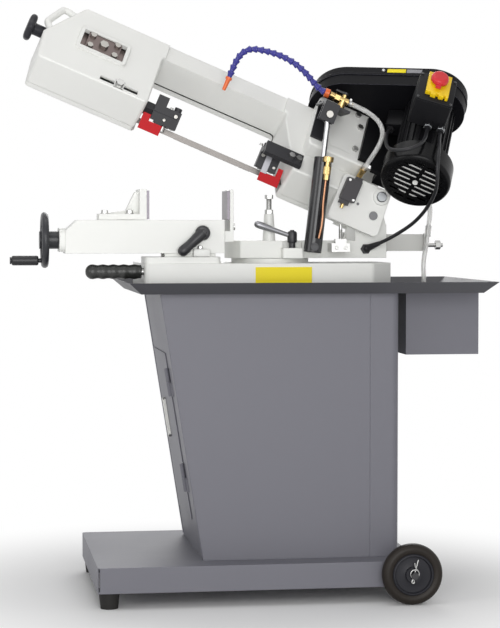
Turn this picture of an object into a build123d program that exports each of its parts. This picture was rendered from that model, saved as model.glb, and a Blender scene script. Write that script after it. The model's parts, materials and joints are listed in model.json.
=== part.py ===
from build123d import *
import math
import os

# Metal cutting band saw on a wheeled stand. Millimetres, +Z up, floor at z = 0.
# +X runs from the blade's front end to the motor end, -Y is the operator's side.

# Fits and sheet
run_fit = 0.1          # radial play of a shaft in its bore
side_gap = 0.5         # play between faces that pass each other
sheet = 2.0

# Plinth, feet and wheels
plinth_left = -337.0
plinth_right = 392.0
plinth_half = 264.0
plinth_low = 36.0
plinth_top = 93.0
foot_x = -310.0
foot_inset = 28.0
foot_low_radius = 19.5
foot_top_radius = 23.5
stud_radius = 5.0
axle_x = 360.6
axle_radius = 8.0
tyre_radius = 68.5
hub_radius = 48.0
wheel_gap = 11.0
wheel_width = 35.0
washer_thick = 2.5

# Cabinet and door
cabinet_left_low = -94.7
cabinet_left_top = -190.6
cabinet_right = 352.0
cabinet_half = 196.0
cabinet_top = 691.5
cabinet_seam = 285.0
door_near = 95.0
door_far = 160.0
door_low = 80.0
door_top = 466.0
door_lap = 9.0
hinge_centres = (179.0, 400.0)
hinge_length = 64.0
hinge_radius = 5.0
hinge_pin_radius = 2.4
latch_along = 278.0
latch_across = -75.0

# Tray and tank
tray_floor = 693.5
tray_rim = 717.0
tray_left = -234.0
tray_right = 538.6
tray_half = 222.0
tray_flare = 29.0
drain_x = 440.0
hose_hole_x = 463.0
hose_hole_y = 45.0
tank_left = 384.5
tank_right = 556.0
tank_half = 120.0
tank_low = 546.5

# Base casting and turntable
base_left = -222.0
base_right = 353.0
base_near = -160.0
base_far = 150.0
base_wall = 10.0
base_deck = 758.0
base_pad = 773.0
turn_x = 86.0
turn_radius = 90.0
turn_top = 768.0
turn_pin_radius = 22.0

# Vise
bed_left = -411.0
bed_right = -40.0
bed_near = -145.0
bed_far = -45.0
bed_low = 781.0
bed_top = 856.0
screw_y = -95.0
screw_z = 811.0
screw_radius = 10.0
hand_radius = 63.0
hand_x = -442.0
jaw_face = -209.6
jaw_top = 925.0
jaw_near = -140.0
jaw_far = -44.0
fixed_face = -33.0
fixed_back = -19.0
lever_x = -91.0
lever_z = 827.0

# Swivel arm
arm_low = 768.5
arm_top = 809.0
arm_end_radius = 106.0
arm_half = 70.0
arm_rear_half = 54.0
arm_right = 352.0
clamp_x = 125.6
clamp_y = -78.0
stop_x = 75.0
stop_y = -56.0
stop_top = 914.0

# Bow pivot and lean
pivot_x = 314.4
pivot_z = 866.0
pivot_radius = 10.0
bow_angle = 23.0
bow_lean = 40.0

# Band and wheels, in the leaning frame of the bow
wheel_radius = 82.0
wheel_half = 10.0
wheel_spacing = 562.0
drive_u = 156.5
blade_width = 13.0
blade_thick = 0.65
blade_seat = 0.35
guide_left = 168.5       # how far the left guide's band line starts behind the idler
guide_right_u = 240.0

# Bow casting
cast_wall = 6.0
cast_face = 85.0
cast_mouth = -6.0
cast_low = -103.0
cast_high = 103.0
nose_reach = 131.5      # the front end's corners beyond the idler's centre
nose_bulge = 139.5
nose_top = 66.5
drive_low = -112.0
drive_back = 100.5      # the housing round the drive wheel, from that wheel's centre
drive_corner = 58.5
drive_throat = 106.5
front_throat = 138.5    # the front housing's throat side, from the idler's centre
arm_under = 56.0
arm_face = 78.0
cover_depth = 14.0
cover_hinge_front = 78.5
cover_hinge_rear = 318.5
ear_near = -85.0
ear_far = 82.0
ear_inside = 60.0

# Tension slide
slide_m = 5.0
window_half_u = 52.0
window_half_m = 26.0
boss_start = 87.5
boss_end = 134.5
knob_start = 160.5
knob_end = 178.5
slide_half_u = 40.0
idler_axle_radius = 12.0
tension_radius = 6.0
tension_n = 50.0

# Gearbox, belt drive and motor
gear_left = 205.0
gear_right = 62.0
gear_low = -52.0
gear_high = 112.0
gear_top = 124.0
worm_u = 121.0
worm_n = 100.0
shaft_radius = 6.5
motor_u = -38.0
motor_n = 215.0
motor_radius = 56.0
fin_height = 4.0
fan_radius = 80.0
guard_worm_radius = 100.0
guard_motor_radius = 80.0
guard_split = 144.0
guard_top = 172.0
pulley_low = 122.0
pulley_step = 14.0
pulley_radii = (48.0, 42.0, 36.0)
belt_thick = 6.0

# Down-feed cylinder
eye_x = 168.0
eye_z = 795.0
cylinder_y = -112.0
cylinder_radius = 20.5
cylinder_bore = 10.5
rod_radius = 6.0
valve_x = 8.0
valve_y = -20.0
valve_groove = 9.0
clevis_u = 192.0
clevis_v = 169.0

# Spring on the far side
spring_y = 86.0
spring_z = 797.0
spring_rod_radius = 5.0
spring_lever = 70.0
spring_radius = 13.0
spring_wire = 1.6
spring_left = 384.0
spring_right = 466.0
spring_turns = 11

# Hoses and cables
hose_radius = 5.0
hose_bore = 3.2
hose_bend = 30.0
cable_radius = 4.2
cable_bend = 25.0

foot_y = plinth_half - foot_inset
wheel_inner = plinth_half + wheel_gap
idler_u = drive_u + wheel_spacing
guide_left_u = idler_u - guide_left
drive_end = drive_u - drive_back
opening_right = drive_u + drive_throat
opening_left = idler_u - front_throat
cover_hinges = (idler_u - cover_hinge_front, idler_u - cover_hinge_rear)
lean = math.radians(bow_lean)
raise_now = math.radians(bow_angle)
centre_y = wheel_radius * math.sin(lean)
centre_v = wheel_radius * math.cos(lean) - blade_width / 2
bow_at = Pos(pivot_x, 0, pivot_z) * Rot(0, bow_angle, 0)
lean_at = Plane((0, centre_y, centre_v), x_dir=(1, 0, 0), z_dir=(0, -math.cos(lean), math.sin(lean))).location
pieces = {}


def block(x0, x1, y0, y1, z0, z1):
    return Pos((x0 + x1) / 2, (y0 + y1) / 2, (z0 + z1) / 2) * Box(x1 - x0, y1 - y0, z1 - z0)


def bar_x(x0, x1, y, z, radius):
    return Pos((x0 + x1) / 2, y, z) * Rot(0, 90, 0) * Cylinder(radius, x1 - x0)


def bar_y(y0, y1, x, z, radius):
    return Pos(x, (y0 + y1) / 2, z) * Rot(90, 0, 0) * Cylinder(radius, y1 - y0)


def bar_z(z0, z1, x, y, radius):
    return Pos(x, y, (z0 + z1) / 2) * Cylinder(radius, z1 - z0)


def slab(points, z0, z1):
    # a polygon in the XY plane given thickness along Z
    return Pos(0, 0, z0) * extrude(make_face(Polyline(*points, close=True)), z1 - z0)


def side_plate(points, y0, y1):
    # a polygon of (x, z) points given thickness along Y
    face = make_face(Polyline(*[(x, y0, z) for x, z in points], close=True))
    return extrude(face, y1 - y0, dir=(0, 1, 0))


def u_block(u0, u1, y0, y1, z0, z1):
    # a block in the bow's frames, where u runs towards the front end (-X)
    return block(-u1, -u0, y0, y1, z0, z1)


def hex_z(x, y, z0, z1, across):
    return Pos(x, y, z0) * extrude(RegularPolygon(across / math.sqrt(3), 6), z1 - z0)


def in_bow(part):
    return bow_at * part


def in_lean(part):
    return bow_at * lean_at * part


def lean_to_bow(part):
    return lean_at * part


def group(*parts):
    return Compound(children=[solid for part in parts for solid in part.solids()])


def tube_along(points, radius, bend, bore=0.0):
    # a tube along straight runs with tangent arcs, one radius for each inner point
    radii = []
    for before, here, after in zip(points, points[1:], points[2:]):
        a = Vector(*before) - Vector(*here)
        b = Vector(*after) - Vector(*here)
        turn = math.pi - math.radians(a.get_angle(b))
        radii.append(0.45 * min(a.length, b.length) / math.tan(turn / 2))
    path = FilletPolyline(*points, radius=radii)
    start = Plane(origin=path @ 0, z_dir=path % 0)
    tube = sweep(start * Circle(radius), path=path)
    if bore > 0:
        tube -= sweep(start * Circle(bore), path=path)
    section = math.pi * (radius ** 2 - bore ** 2)
    print("tube least bend radius", round(min(radii), 1), "wanted", bend,
          "length", round(path.length, 1), "volume ratio", round(tube.volume / section / path.length, 3))
    return tube


# Plinth: a folded sheet pan, open below, with a gusset over each foot and holes for the axle
plinth = block(plinth_left, plinth_right, -plinth_half, plinth_half, plinth_low, plinth_top)
plinth = fillet(plinth.edges().filter_by(Axis.Z), 10)
plinth -= block(plinth_left + sheet, plinth_right - sheet, -plinth_half + sheet, plinth_half - sheet,
                plinth_low - 1, plinth_top - sheet)
for side in (-1, 1):
    gusset = block(plinth_left + sheet, foot_x + foot_top_radius + 6, foot_y - foot_top_radius - 6,
                   plinth_half - sheet, plinth_low, plinth_low + 4)
    gusset = gusset if side > 0 else mirror(gusset, about=Plane.XZ)
    plinth += gusset
    plinth -= bar_z(plinth_low - 1, plinth_low + 5, foot_x, side * foot_y, stud_radius + side_gap)
plinth -= bar_y(-plinth_half - 1, plinth_half + 1, axle_x, tyre_radius, axle_radius + run_fit)
pieces["plinth"] = plinth

# Feet: rubber cones with a steel stud moulded in
feet = []
for side in (-1, 1):
    pad = Pos(foot_x, side * foot_y, plinth_low / 2) * Cone(foot_low_radius, foot_top_radius, plinth_low)
    pad -= bar_z(plinth_low - 22, plinth_low + 1, foot_x, side * foot_y, stud_radius + run_fit)
    stud = bar_z(plinth_low - 22, plinth_low + 14, foot_x, side * foot_y, stud_radius)
    stud += hex_z(foot_x, side * foot_y, plinth_low + 4, plinth_low + 11, 17)
    feet += [pad, stud]
pieces["feet"] = group(*feet)

# Axle with a washer and a spring clip outside each wheel
wheel_outer = wheel_inner + wheel_width
clip_y = wheel_outer + side_gap + washer_thick + 4
axle = bar_y(-clip_y - 8, clip_y + 8, axle_x, tyre_radius, axle_radius)
axle_parts = []
for side in (-1, 1):
    axle -= bar_z(tyre_radius - 20, tyre_radius + 20, axle_x, side * clip_y, 1.8)
    near_face = wheel_outer + side_gap
    ring = bar_y(near_face, near_face + washer_thick, axle_x, tyre_radius, 17)
    ring -= bar_y(near_face - 1, near_face + washer_thick + 1, axle_x, tyre_radius, axle_radius + run_fit)
    clip = bar_z(tyre_radius - 17, tyre_radius + 17, axle_x, clip_y, 1.5)
    bend = Pos(axle_x + 6.5, clip_y, tyre_radius + 17) * Rot(90, 0, 0) * Torus(6.5, 1.5)
    clip += bend - block(axle_x - 10, axle_x + 30, clip_y - 5, clip_y + 5, tyre_radius, tyre_radius + 17)
    if side < 0:
        ring = mirror(ring, about=Plane.XZ)
        clip = mirror(clip, about=Plane.XZ)
    axle_parts += [ring, clip]
pieces["wheel_axle"] = group(axle, *axle_parts)


def stand_wheel(y0):
    # a rubber tyre pressed on a ribbed plastic hub
    y1 = y0 + wheel_width
    tyre = bar_y(y0, y1, axle_x, tyre_radius, tyre_radius)
    tyre -= bar_y(y0 - 1, y1 + 1, axle_x, tyre_radius, hub_radius)
    outer = tyre.edges().filter_by(GeomType.CIRCLE).filter_by(lambda e: abs(e.radius - tyre_radius) < 0.01)
    tyre = fillet(outer, 7)
    hub = bar_y(y0, y1, axle_x, tyre_radius, hub_radius)
    for dish in (bar_y(y0 - 1, y0 + 9, axle_x, tyre_radius, hub_radius - 7),
                 bar_y(y1 - 9, y1 + 1, axle_x, tyre_radius, hub_radius - 7)):
        hub -= dish - bar_y(y0 - 2, y1 + 2, axle_x, tyre_radius, 19)
    hub -= bar_y(y0 - 1, y1 + 1, axle_x, tyre_radius, axle_radius + run_fit)
    return group(tyre, hub)


pieces["wheel_near"] = stand_wheel(-wheel_inner - wheel_width)
pieces["wheel_far"] = stand_wheel(wheel_inner)

# Cabinet: a folded shell with a slanted front end, a door opening there and a rear column behind a seam
slope = (cabinet_left_low - cabinet_left_top) / (cabinet_top + 2.5 - plinth_top)
slope_angle = math.atan(slope)


def cabinet_left(z):
    return cabinet_left_low - slope * (z - plinth_top)


skin = sheet / math.cos(slope_angle)
shell = side_plate([(cabinet_left(plinth_top), plinth_top), (cabinet_right, plinth_top),
                    (cabinet_right, cabinet_top), (cabinet_left(cabinet_top), cabinet_top)],
                   -cabinet_half, cabinet_half)
shell = fillet(shell.edges().filter_by(Axis.Z), 16)
hollow = side_plate([(cabinet_left(plinth_top + sheet) + skin, plinth_top + sheet),
                     (cabinet_right - sheet, plinth_top + sheet),
                     (cabinet_right - sheet, cabinet_top - sheet),
                     (cabinet_left(cabinet_top - sheet) + skin, cabinet_top - sheet)],
                    -cabinet_half + sheet, cabinet_half - sheet)
hollow = fillet(hollow.edges().filter_by(Axis.Z), 16 - sheet)
shell -= hollow
shell -= block(0, 200, -100, 100, plinth_top - 1, plinth_top + sheet + 1)
for side in (-1, 1):
    shell -= block(cabinet_seam - 0.7, cabinet_seam + 0.7, side * cabinet_half - 0.8, side * cabinet_half + 0.8,
                   plinth_top - 1, cabinet_top + 1)
# in the slanted face's own frame X points to the operator, Y up the slope, Z outwards
slant_at = Plane((cabinet_left_low, 0, plinth_top), x_dir=(0, -1, 0),
                 z_dir=(-math.cos(slope_angle), 0, -math.sin(slope_angle))).location
opening = block(-door_far + door_lap, door_near - door_lap, door_low + door_lap, door_top - door_lap,
                -sheet - 1, 1)
hinge_x = door_near + 2
hinge_z = hinge_radius + 0.2
shell -= slant_at * opening
door = block(-door_far, door_near - 4, door_low, door_top, side_gap, side_gap + sheet)
door_ring = block(-door_far + door_lap + 3, door_near - door_lap - 3, door_low + door_lap + 3,
                  door_top - door_lap - 3, -10, side_gap)
door_hollow = block(-door_far + door_lap + 3 + sheet, door_near - door_lap - 3 - sheet,
                    door_low + door_lap + 3 + sheet, door_top - door_lap - 3 - sheet, -11, side_gap)
door += door_ring - door_hollow
for centre in hinge_centres:
    low = centre - hinge_length / 2
    high = centre + hinge_length / 2
    shell_knuckle = bar_y(low, centre - side_gap / 2, hinge_x, hinge_z, hinge_radius)
    shell_knuckle += block(hinge_x, hinge_x + 26, low, centre - side_gap / 2, 0, 2.4)
    shell_knuckle += bar_y(centre - 2, high - 3, hinge_x, hinge_z, hinge_pin_radius)
    shell += slant_at * shell_knuckle
    door_knuckle = bar_y(centre + side_gap / 2, high, hinge_x, hinge_z, hinge_radius)
    door_knuckle += block(hinge_x - 30, hinge_x, centre + side_gap / 2, high, side_gap, side_gap + sheet)
    door_knuckle -= bar_y(centre - 1, high - 2.5, hinge_x, hinge_z, hinge_pin_radius + run_fit)
    door += door_knuckle
door -= bar_z(-2, 10, latch_across, latch_along, 6 + run_fit)
pieces["cabinet_shell"] = shell
pieces["cabinet_door"] = slant_at * door

# Latch: a swing handle with a keyhole, its shaft through the door and a tongue behind it
door_skin = side_gap + sheet
latch = block(latch_across - 8, latch_across + 8, latch_along - 22, latch_along + 73,
              door_skin + 0.3, door_skin + 7)
latch = fillet(latch.edges().filter_by(Axis.Z), 7.5)
latch += bar_z(-9, door_skin + 1, latch_across, latch_along, 6)
latch += block(latch_across - 60, latch_across + 7, latch_along - 8, latch_along + 8, -12, -9)
latch -= bar_z(door_skin + 4, door_skin + 8, latch_across, latch_along, 4)
pieces["door_latch"] = slant_at * latch

# Tray: a pan with outward sloping sides, a drain into the tank and a hole for the coolant hose


def pan(grow, floor):
    low = Pos((tray_left + tray_right) / 2, 0, floor) * Rectangle(tray_right - tray_left + 2 * grow,
                                                               2 * (tray_half + grow))
    wide = grow + tray_flare
    high = Pos((tray_left + tray_right) / 2, 0, tray_rim) * Rectangle(tray_right - tray_left + 2 * wide,
                                                                   2 * (tray_half + wide))
    return loft([low, high], ruled=True)


tray = pan(sheet, tray_floor - sheet) - pan(0, tray_floor)
tray -= bar_z(tray_floor - 5, tray_floor + 5, drain_x, -40, 14)
tray -= bar_z(tray_floor - 5, tray_floor + 5, hose_hole_x, hose_hole_y, 9)
pieces["chip_tray"] = tray

# Tank: an open sheet box hung under the tray by its flange
tank = block(tank_left, tank_right, -tank_half, tank_half, tank_low, tray_floor - sheet)
tank -= block(tank_left + sheet, tank_right - sheet, -tank_half + sheet, tank_half - sheet,
              tank_low + sheet, tray_floor)
tank_flange = block(tank_left - 14, tank_right, -tank_half - 12, tank_half + 12,
                    tray_floor - 2 * sheet, tray_floor - sheet)
tank += tank_flange - block(tank_left + sheet, tank_right - sheet, -tank_half + sheet, tank_half - sheet,
                            tank_low, tray_floor)
pieces["coolant_tank"] = tank

# Pump standing in the tank, with the spigot that the hose pushes over
pump = bar_z(tank_low + sheet, tank_low + 55, hose_hole_x, hose_hole_y, 36)
pump = fillet(pump.edges().filter_by(GeomType.CIRCLE), 4)
pump += bar_z(tank_low + 50, tank_low + 85, hose_hole_x, hose_hole_y, 22)
pump += bar_z(tank_low + 80, tank_low + 110, hose_hole_x, hose_hole_y, 2.8)
pieces["coolant_pump"] = pump

# Base casting: hollow box with a raised pad for the vise, a round seat for the swivel and its pin
base_outline = [(base_left, base_near), (base_right - 53, base_near), (base_right, base_near + 60),
                (base_right, base_far), (base_left, base_far)]
base = slab(base_outline, tray_floor, base_deck)
base = fillet(base.edges().filter_by(Axis.Z), 14)
base_inside = offset(make_face(Polyline(*base_outline, close=True)), amount=-base_wall, kind=Kind.INTERSECTION)
base -= Pos(0, 0, tray_floor - 1) * extrude(base_inside, base_deck - base_wall - tray_floor + 1)
pad = block(base_left + 2, bed_right - 10, base_near + 4, bed_far + 6, base_deck - 5, base_pad)
pad = fillet(pad.edges().filter_by(Axis.Z), 10)
base += pad
base += bar_z(base_deck - 5, turn_top, turn_x, 0, turn_radius)
base += bar_z(turn_top - 5, arm_top - 6, turn_x, 0, turn_pin_radius)
handle_y = -128.0
handle_z = 740.0
base -= bar_x(base_left - 1, base_left + base_wall + 4, handle_y, handle_z, axle_radius + run_fit)
bare_plate = block(28, 157, base_near - 1.2, base_near, 711, 750)
pieces["base_casting"] = group(base, bare_plate)

# Carrying bar screwed into the base's end, with a ribbed rubber grip
rod = bar_x(base_left - 128, base_left + base_wall, handle_y, handle_z, axle_radius)
grip = bar_x(base_left - 131, base_left - 4, handle_y, handle_z, 15)
for rib in range(9):
    at = base_left - 122 + rib * 13.5
    grip += bar_x(at - 2.5, at + 2.5, handle_y, handle_z, 17)
grip -= bar_x(base_left - 128.5, base_left, handle_y, handle_z, axle_radius + run_fit)
pieces["carry_bar"] = group(rod, grip)

# Vise bed: a channel casting with an end plate for the screw and a slot for the moving jaw
bed = side_plate([(bed_left + 13, bed_low), (bed_right, bed_low), (bed_right, bed_top),
                  (bed_left + 40, bed_top), (bed_left + 13, bed_top - 24)], bed_near, bed_far)
bed -= block(bed_left + 30, bed_right - 14, bed_near + 10, bed_far - 10, bed_low - 1, bed_top - 14)
bed -= block(bed_left + 55, bed_right - 14, screw_y - 9, screw_y + 9, bed_top - 20, bed_top + 1)
bed += block(-175, -60, bed_near + 6, bed_near + 24, base_pad, bed_low)
bed += block(-175, -60, bed_far - 24, bed_far - 6, base_pad, bed_low)
end_plate = block(bed_left, bed_left + 13, bed_near + 4, bed_far - 4, bed_low + 4, bed_top - 18)
end_plate = fillet(end_plate.edges().filter_by(Axis.X), 14)
bed += end_plate
screw_bore = screw_radius + run_fit
bed -= bar_x(bed_left - 1, bed_left + 60, screw_y, screw_z, screw_bore)
bed -= bar_y(bed_near - 1, bed_near + 11, lever_x, lever_z, 7 + run_fit)
pieces["vise_bed"] = bed

# Fixed jaw bolted on the bed's inner end, with a hardened face
fixed_jaw = block(fixed_face + 6, fixed_back, jaw_near, jaw_far, bed_low + 26, jaw_top)
fixed_jaw = chamfer(fixed_jaw.edges().filter_by(Axis.Y).sort_by(Axis.Z)[-2:], 3)
fixed_foot = block(bed_right, fixed_back, jaw_near, jaw_far, bed_low + 26, bed_low + 50)
fixed_jaw += fixed_foot
jaw_plate = block(fixed_face, fixed_face + 6, jaw_near + 3, jaw_far - 3, bed_top + 1, jaw_top - 3)
fixed_bolts = []
for y in (jaw_near + 25, jaw_far - 25):
    fixed_bolts.append(bar_x(fixed_back, fixed_back + 6, y, bed_low + 60, 8)
                       - bar_x(fixed_back + 2, fixed_back + 7, y, bed_low + 60, 4))
pieces["fixed_jaw"] = group(fixed_jaw, jaw_plate, *fixed_bolts)

# Moving jaw: upright face, gusset, low plate on the bed and a nut on a tongue through the slot
jaw_back = jaw_face - 30
moving = block(jaw_back + 8, jaw_face - 6, jaw_near, jaw_far, bed_top + side_gap, jaw_top)
moving += side_plate([(jaw_back - 74, bed_top + side_gap), (jaw_back + 10, bed_top + side_gap),
                      (jaw_back + 10, jaw_top - 6), (jaw_back, jaw_top - 6), (jaw_back - 20, bed_top + 22),
                      (jaw_back - 74, bed_top + 14)], jaw_near + 30, jaw_far - 34)
moving += block(jaw_back - 83, jaw_back + 10, jaw_near, jaw_far - 20, bed_top + side_gap, bed_top + 14)
moving += block(jaw_back - 40, jaw_back, screw_y - 8.5, screw_y + 8.5, screw_z, bed_top + 2)
moving += bar_x(jaw_back - 40, jaw_back, screw_y, screw_z, 20)
moving -= bar_x(jaw_back - 42, jaw_back + 2, screw_y, screw_z, screw_bore)
moving_plate = block(jaw_face - 6, jaw_face, jaw_near + 3, jaw_far - 3, bed_top + 2, jaw_top - 3)
clamp_bolt = hex_z(jaw_back - 56, jaw_near + 15, bed_top + 14, bed_top + 23, 17)
pieces["moving_jaw"] = group(moving, moving_plate, clamp_bolt)

# Handwheel on the vise screw: a spoked rim, its hub and the crank's fixed spindle
crank_z = screw_z - hand_radius + 17
screw = bar_x(bed_left - 29, -70, screw_y, screw_z, screw_radius)
hand = Pos(hand_x, screw_y, screw_z) * Rot(0, 90, 0) * Torus(hand_radius - 8, 8)
hand += bar_x(hand_x - 12, bed_left - side_gap, screw_y, screw_z, 20)
for spoke in range(3):
    turn = Pos(0, screw_y, screw_z) * Rot(120 * spoke, 0, 0) * Pos(0, -screw_y, -screw_z)
    hand += turn * block(hand_x - 5, hand_x + 5, screw_y - 8, screw_y + 8, crank_z - 6, screw_z - 10)
hand -= bar_x(bed_left - 29.2, bed_left + 5, screw_y, screw_z, screw_bore)
spindle = bar_x(hand_x - 76, hand_x - 4, screw_y, crank_z, 5)
spindle += bar_x(hand_x - 78, hand_x - 74.5, screw_y, crank_z, 8)
hand += spindle
pieces["vise_handwheel"] = group(hand, screw)
crank = bar_x(hand_x - 74, hand_x - 14, screw_y, crank_z, 11)
crank = fillet(crank.edges().filter_by(GeomType.CIRCLE), 4)
crank -= bar_x(hand_x - 75, hand_x, screw_y, crank_z, 5 + run_fit)
pieces["crank_grip"] = crank

# Quick clamp lever on the bed's near face
quick = bar_y(bed_near - 16, bed_near - side_gap, lever_x, lever_z, 14)
quick += bar_y(bed_near - 2, bed_near + 9, lever_x, lever_z, 7)
quick += Pos(lever_x - 23, bed_near - 9, lever_z - 20) * Rot(0, 138, 0) * Box(62, 8, 13)
quick += bar_y(bed_near - 34, bed_near - 6, lever_x - 46, lever_z - 41, 8)
pieces["quick_lever"] = quick

# Swivel arm: a rounded block on the seat, widened for its clamp lever, with the bow's lug at its rear end
arm = bar_z(arm_low, arm_top, turn_x, 0, arm_end_radius)
arm &= block(turn_x - arm_end_radius, turn_x + arm_end_radius, -arm_half, arm_half, arm_low, arm_top)
arm += block(turn_x, turn_x + 104, -arm_half, arm_half, arm_low, arm_top)
arm += block(turn_x + 90, arm_right, -arm_rear_half, arm_rear_half, arm_low, arm_top)
lug_half = 36.0
lug = block(pivot_x - lug_half, arm_right, -arm_rear_half, arm_rear_half, arm_low, pivot_z - 20)
lug += side_plate([(pivot_x - lug_half, pivot_z - 25), (arm_right, pivot_z - 25), (pivot_x + 28, pivot_z + 10),
                   (pivot_x - 28, pivot_z + 10)], -arm_rear_half, arm_rear_half)
lug += bar_y(-arm_rear_half, arm_rear_half, pivot_x, pivot_z, 30)
lug += bar_y(-ear_inside + side_gap, ear_inside - side_gap, pivot_x, pivot_z, 22)
arm += lug
arm += block(clamp_x - 24, clamp_x + 22, clamp_y - 20, -arm_half + 5, arm_low, arm_top - 17)
arm -= block(clamp_x - 20, clamp_x + 24, -arm_half - 1, clamp_y + 22, arm_top - 17, arm_top + 1)
arm -= bar_z(arm_low - 1, arm_top - 5, turn_x, 0, turn_pin_radius + run_fit)
arm += Pos(stop_x, stop_y, arm_top) * Pos(0, 0, 30) * Cone(15, 11, 62)
arm -= bar_z(arm_top + 20, arm_top + 70, stop_x, stop_y, 6 + run_fit)
arm += bar_y(cylinder_y - 22, -arm_half, eye_x, eye_z, 8)
arm += bar_y(cylinder_y + cylinder_radius + side_gap, -arm_half + 2, eye_x, eye_z, 14)
arm -= bar_y(-ear_far - 1, ear_far, pivot_x, pivot_z, pivot_radius + run_fit)
pieces["swivel_arm"] = arm

# Clamp lever that locks the swivel
clamp = bar_z(arm_top - 17 + side_gap, arm_top + 24, clamp_x, clamp_y, 10)
clamp += Pos(clamp_x - 41, clamp_y, arm_top + 23) * Rot(0, 19, 0) * Rot(0, 90, 0) * Cylinder(6, 84)
clamp += Pos(clamp_x - 79, clamp_y, arm_top + 36) * Rot(0, 19, 0) * Rot(0, 90, 0) * Cylinder(8, 22)
pieces["swivel_lever"] = clamp

# Stop bolt with its lock nut, screwed in the arm's boss
stop = bar_z(arm_top + 22, stop_top - 9, stop_x, stop_y, 6)
stop += hex_z(stop_x, stop_y, stop_top - 9, stop_top, 17)
lock_nut = hex_z(stop_x, stop_y, arm_top + 61, arm_top + 71, 17)
lock_nut -= bar_z(arm_top, stop_top, stop_x, stop_y, 6 + run_fit)

# Trip block with its pin, under the limit switch
trip = block(213, 256, -105, -arm_rear_half, 783, 803)
trip += block(222, 248, -105, -84, 800, 813)
trip += bar_z(810, 846, 235, -97, 4)
pieces["stop_bolts"] = group(stop, lock_nut, trip)

# Spring bracket on the arm's rear face: a channel with end walls and a hole for the rod
bracket_left = arm_right + 4
bracket_right = spring_right + 10
bracket_low = spring_z - 14
bracket_high = spring_z + 26
bracket = block(bracket_left, bracket_right, spring_y - 28, spring_y + 24, bracket_low, bracket_high)
bracket -= block(bracket_left + 3, bracket_right - 3, spring_y - 25, spring_y + 21,
                 bracket_low - 3, bracket_high - 3)
bracket += block(arm_right, bracket_left, 20, spring_y + 24, bracket_low, bracket_high)
bracket -= bar_x(arm_right - 12, bracket_right + 4, spring_y, spring_z, spring_rod_radius + 3.5)
bracket -= block(arm_right - 12, spring_left - 12, spring_y - 20, spring_y + 34,
                 bracket_low - 8, bracket_high + 7)
pieces["spring_bracket"] = bracket

# Spring rod: a slotted fork on the bow's spring lever, a collar for the spring and an adjusting nut
lever_now_x = pivot_x - spring_lever * math.sin(raise_now)
lever_now_z = pivot_z - spring_lever * math.cos(raise_now)
fork = block(lever_now_x - 14, lever_now_x + 14, spring_y - 3, spring_y + 5, lever_now_z - 16, lever_now_z + 26)
fork -= block(lever_now_x - 8, lever_now_x + 9.5, spring_y - 9, spring_y + 9,
              lever_now_z - 13, lever_now_z + 22)
fork += bar_x(lever_now_x + 12, spring_right + 55, spring_y + 1, spring_z, spring_rod_radius)
fork += bar_x(spring_left - 5, spring_left - side_gap, spring_y + 1, spring_z, spring_radius + 3)
adjuster = Pos(spring_right + 37, spring_y + 1, spring_z) * Rot(0, 90, 0) * extrude(RegularPolygon(11, 6), 12)
adjuster -= bar_x(spring_right + 30, spring_right + 54, spring_y + 1, spring_z, spring_rod_radius + run_fit)
pieces["spring_rod"] = group(fork, adjuster)

# Balance spring between the rod's collar and the bracket's end wall: a wire wound on pairs of arcs
spring_pitch = (spring_right - spring_left - 2 * spring_wire) / spring_turns


def coil_point(quarter):
    angle = quarter * math.pi / 2
    return Vector(spring_radius * math.cos(angle), spring_radius * math.sin(angle), spring_pitch * quarter / 4)


def coil_heading(quarter):
    angle = quarter * math.pi / 2
    rise = spring_pitch / (2 * math.pi)
    return Vector(-spring_radius * math.sin(angle), spring_radius * math.cos(angle), rise).normalized()


def two_arcs(start, end, heading_in, heading_out):
    # two arcs that meet tangentially and keep the headings at both ends
    chord = end - start
    a = 2 * (heading_in.dot(heading_out) - 1)
    b = -2 * chord.dot(heading_in + heading_out)
    c = chord.dot(chord)
    root = math.sqrt(b * b - 4 * a * c)
    reach = max((-b - root) / (2 * a), (-b + root) / (2 * a))
    first = start + heading_in * reach
    last = end - heading_out * reach
    middle = (first + last) * 0.5
    return [TangentArc(start, middle, tangent=heading_in), TangentArc(middle, end, tangent=last - first)]


coil_arcs = []
for quarter in range(4 * spring_turns):
    coil_arcs += two_arcs(coil_point(quarter), coil_point(quarter + 1),
                          coil_heading(quarter), coil_heading(quarter + 1))
coil = Wire(coil_arcs)
spring = sweep(Plane(origin=coil @ 0, z_dir=coil % 0) * Circle(spring_wire), path=coil)
marks = 20 * spring_turns
coil_points = [coil @ (i / marks) for i in range(marks + 1)]
coil_gap = min((p - q).length for i, p in enumerate(coil_points) for q in coil_points[i + 10:])
coil_gap -= 2 * spring_wire
print("spring least gap to itself", round(coil_gap, 2))
pieces["balance_spring"] = Pos(spring_left + spring_wire, spring_y + 1, spring_z) * Rot(0, 90, 0) * spring

# Bow casting: two wheel housings joined by the arm, open on the blade cover's side, with ears for the pivot
outline_um = [(idler_u + nose_reach, cast_low), (idler_u + nose_bulge, -20), (idler_u + nose_top, cast_high),
              (drive_end, cast_high), (drive_end, drive_low), (drive_u + drive_corner, drive_low),
              (opening_right, 30), (opening_right, arm_under), (opening_left, arm_under),
              (opening_left, cast_low)]
outline = [(-u, m) for u, m in outline_um]
outline_face = make_face(Polyline(*outline, close=True))
cast = slab(outline, cast_mouth, cast_face)
cast = fillet(cast.edges().filter_by(Axis.Z), 9)
cast = chamfer(cast.faces().sort_by(Axis.Z)[-1].edges(), 3)
cast -= u_block(opening_right + 8, opening_left - 6, arm_under - 6, cast_high + 2, arm_face, cast_face + 1)
inside = Pos(0, 0, cast_mouth - 1) * extrude(offset(outline_face, amount=-cast_wall, kind=Kind.INTERSECTION),
                                             cast_face - cast_wall - cast_mouth + 1)
inside -= u_block(opening_right - 20, opening_left + 20, arm_under, cast_high, arm_face - cast_wall, cast_face)
cast -= inside
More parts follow.
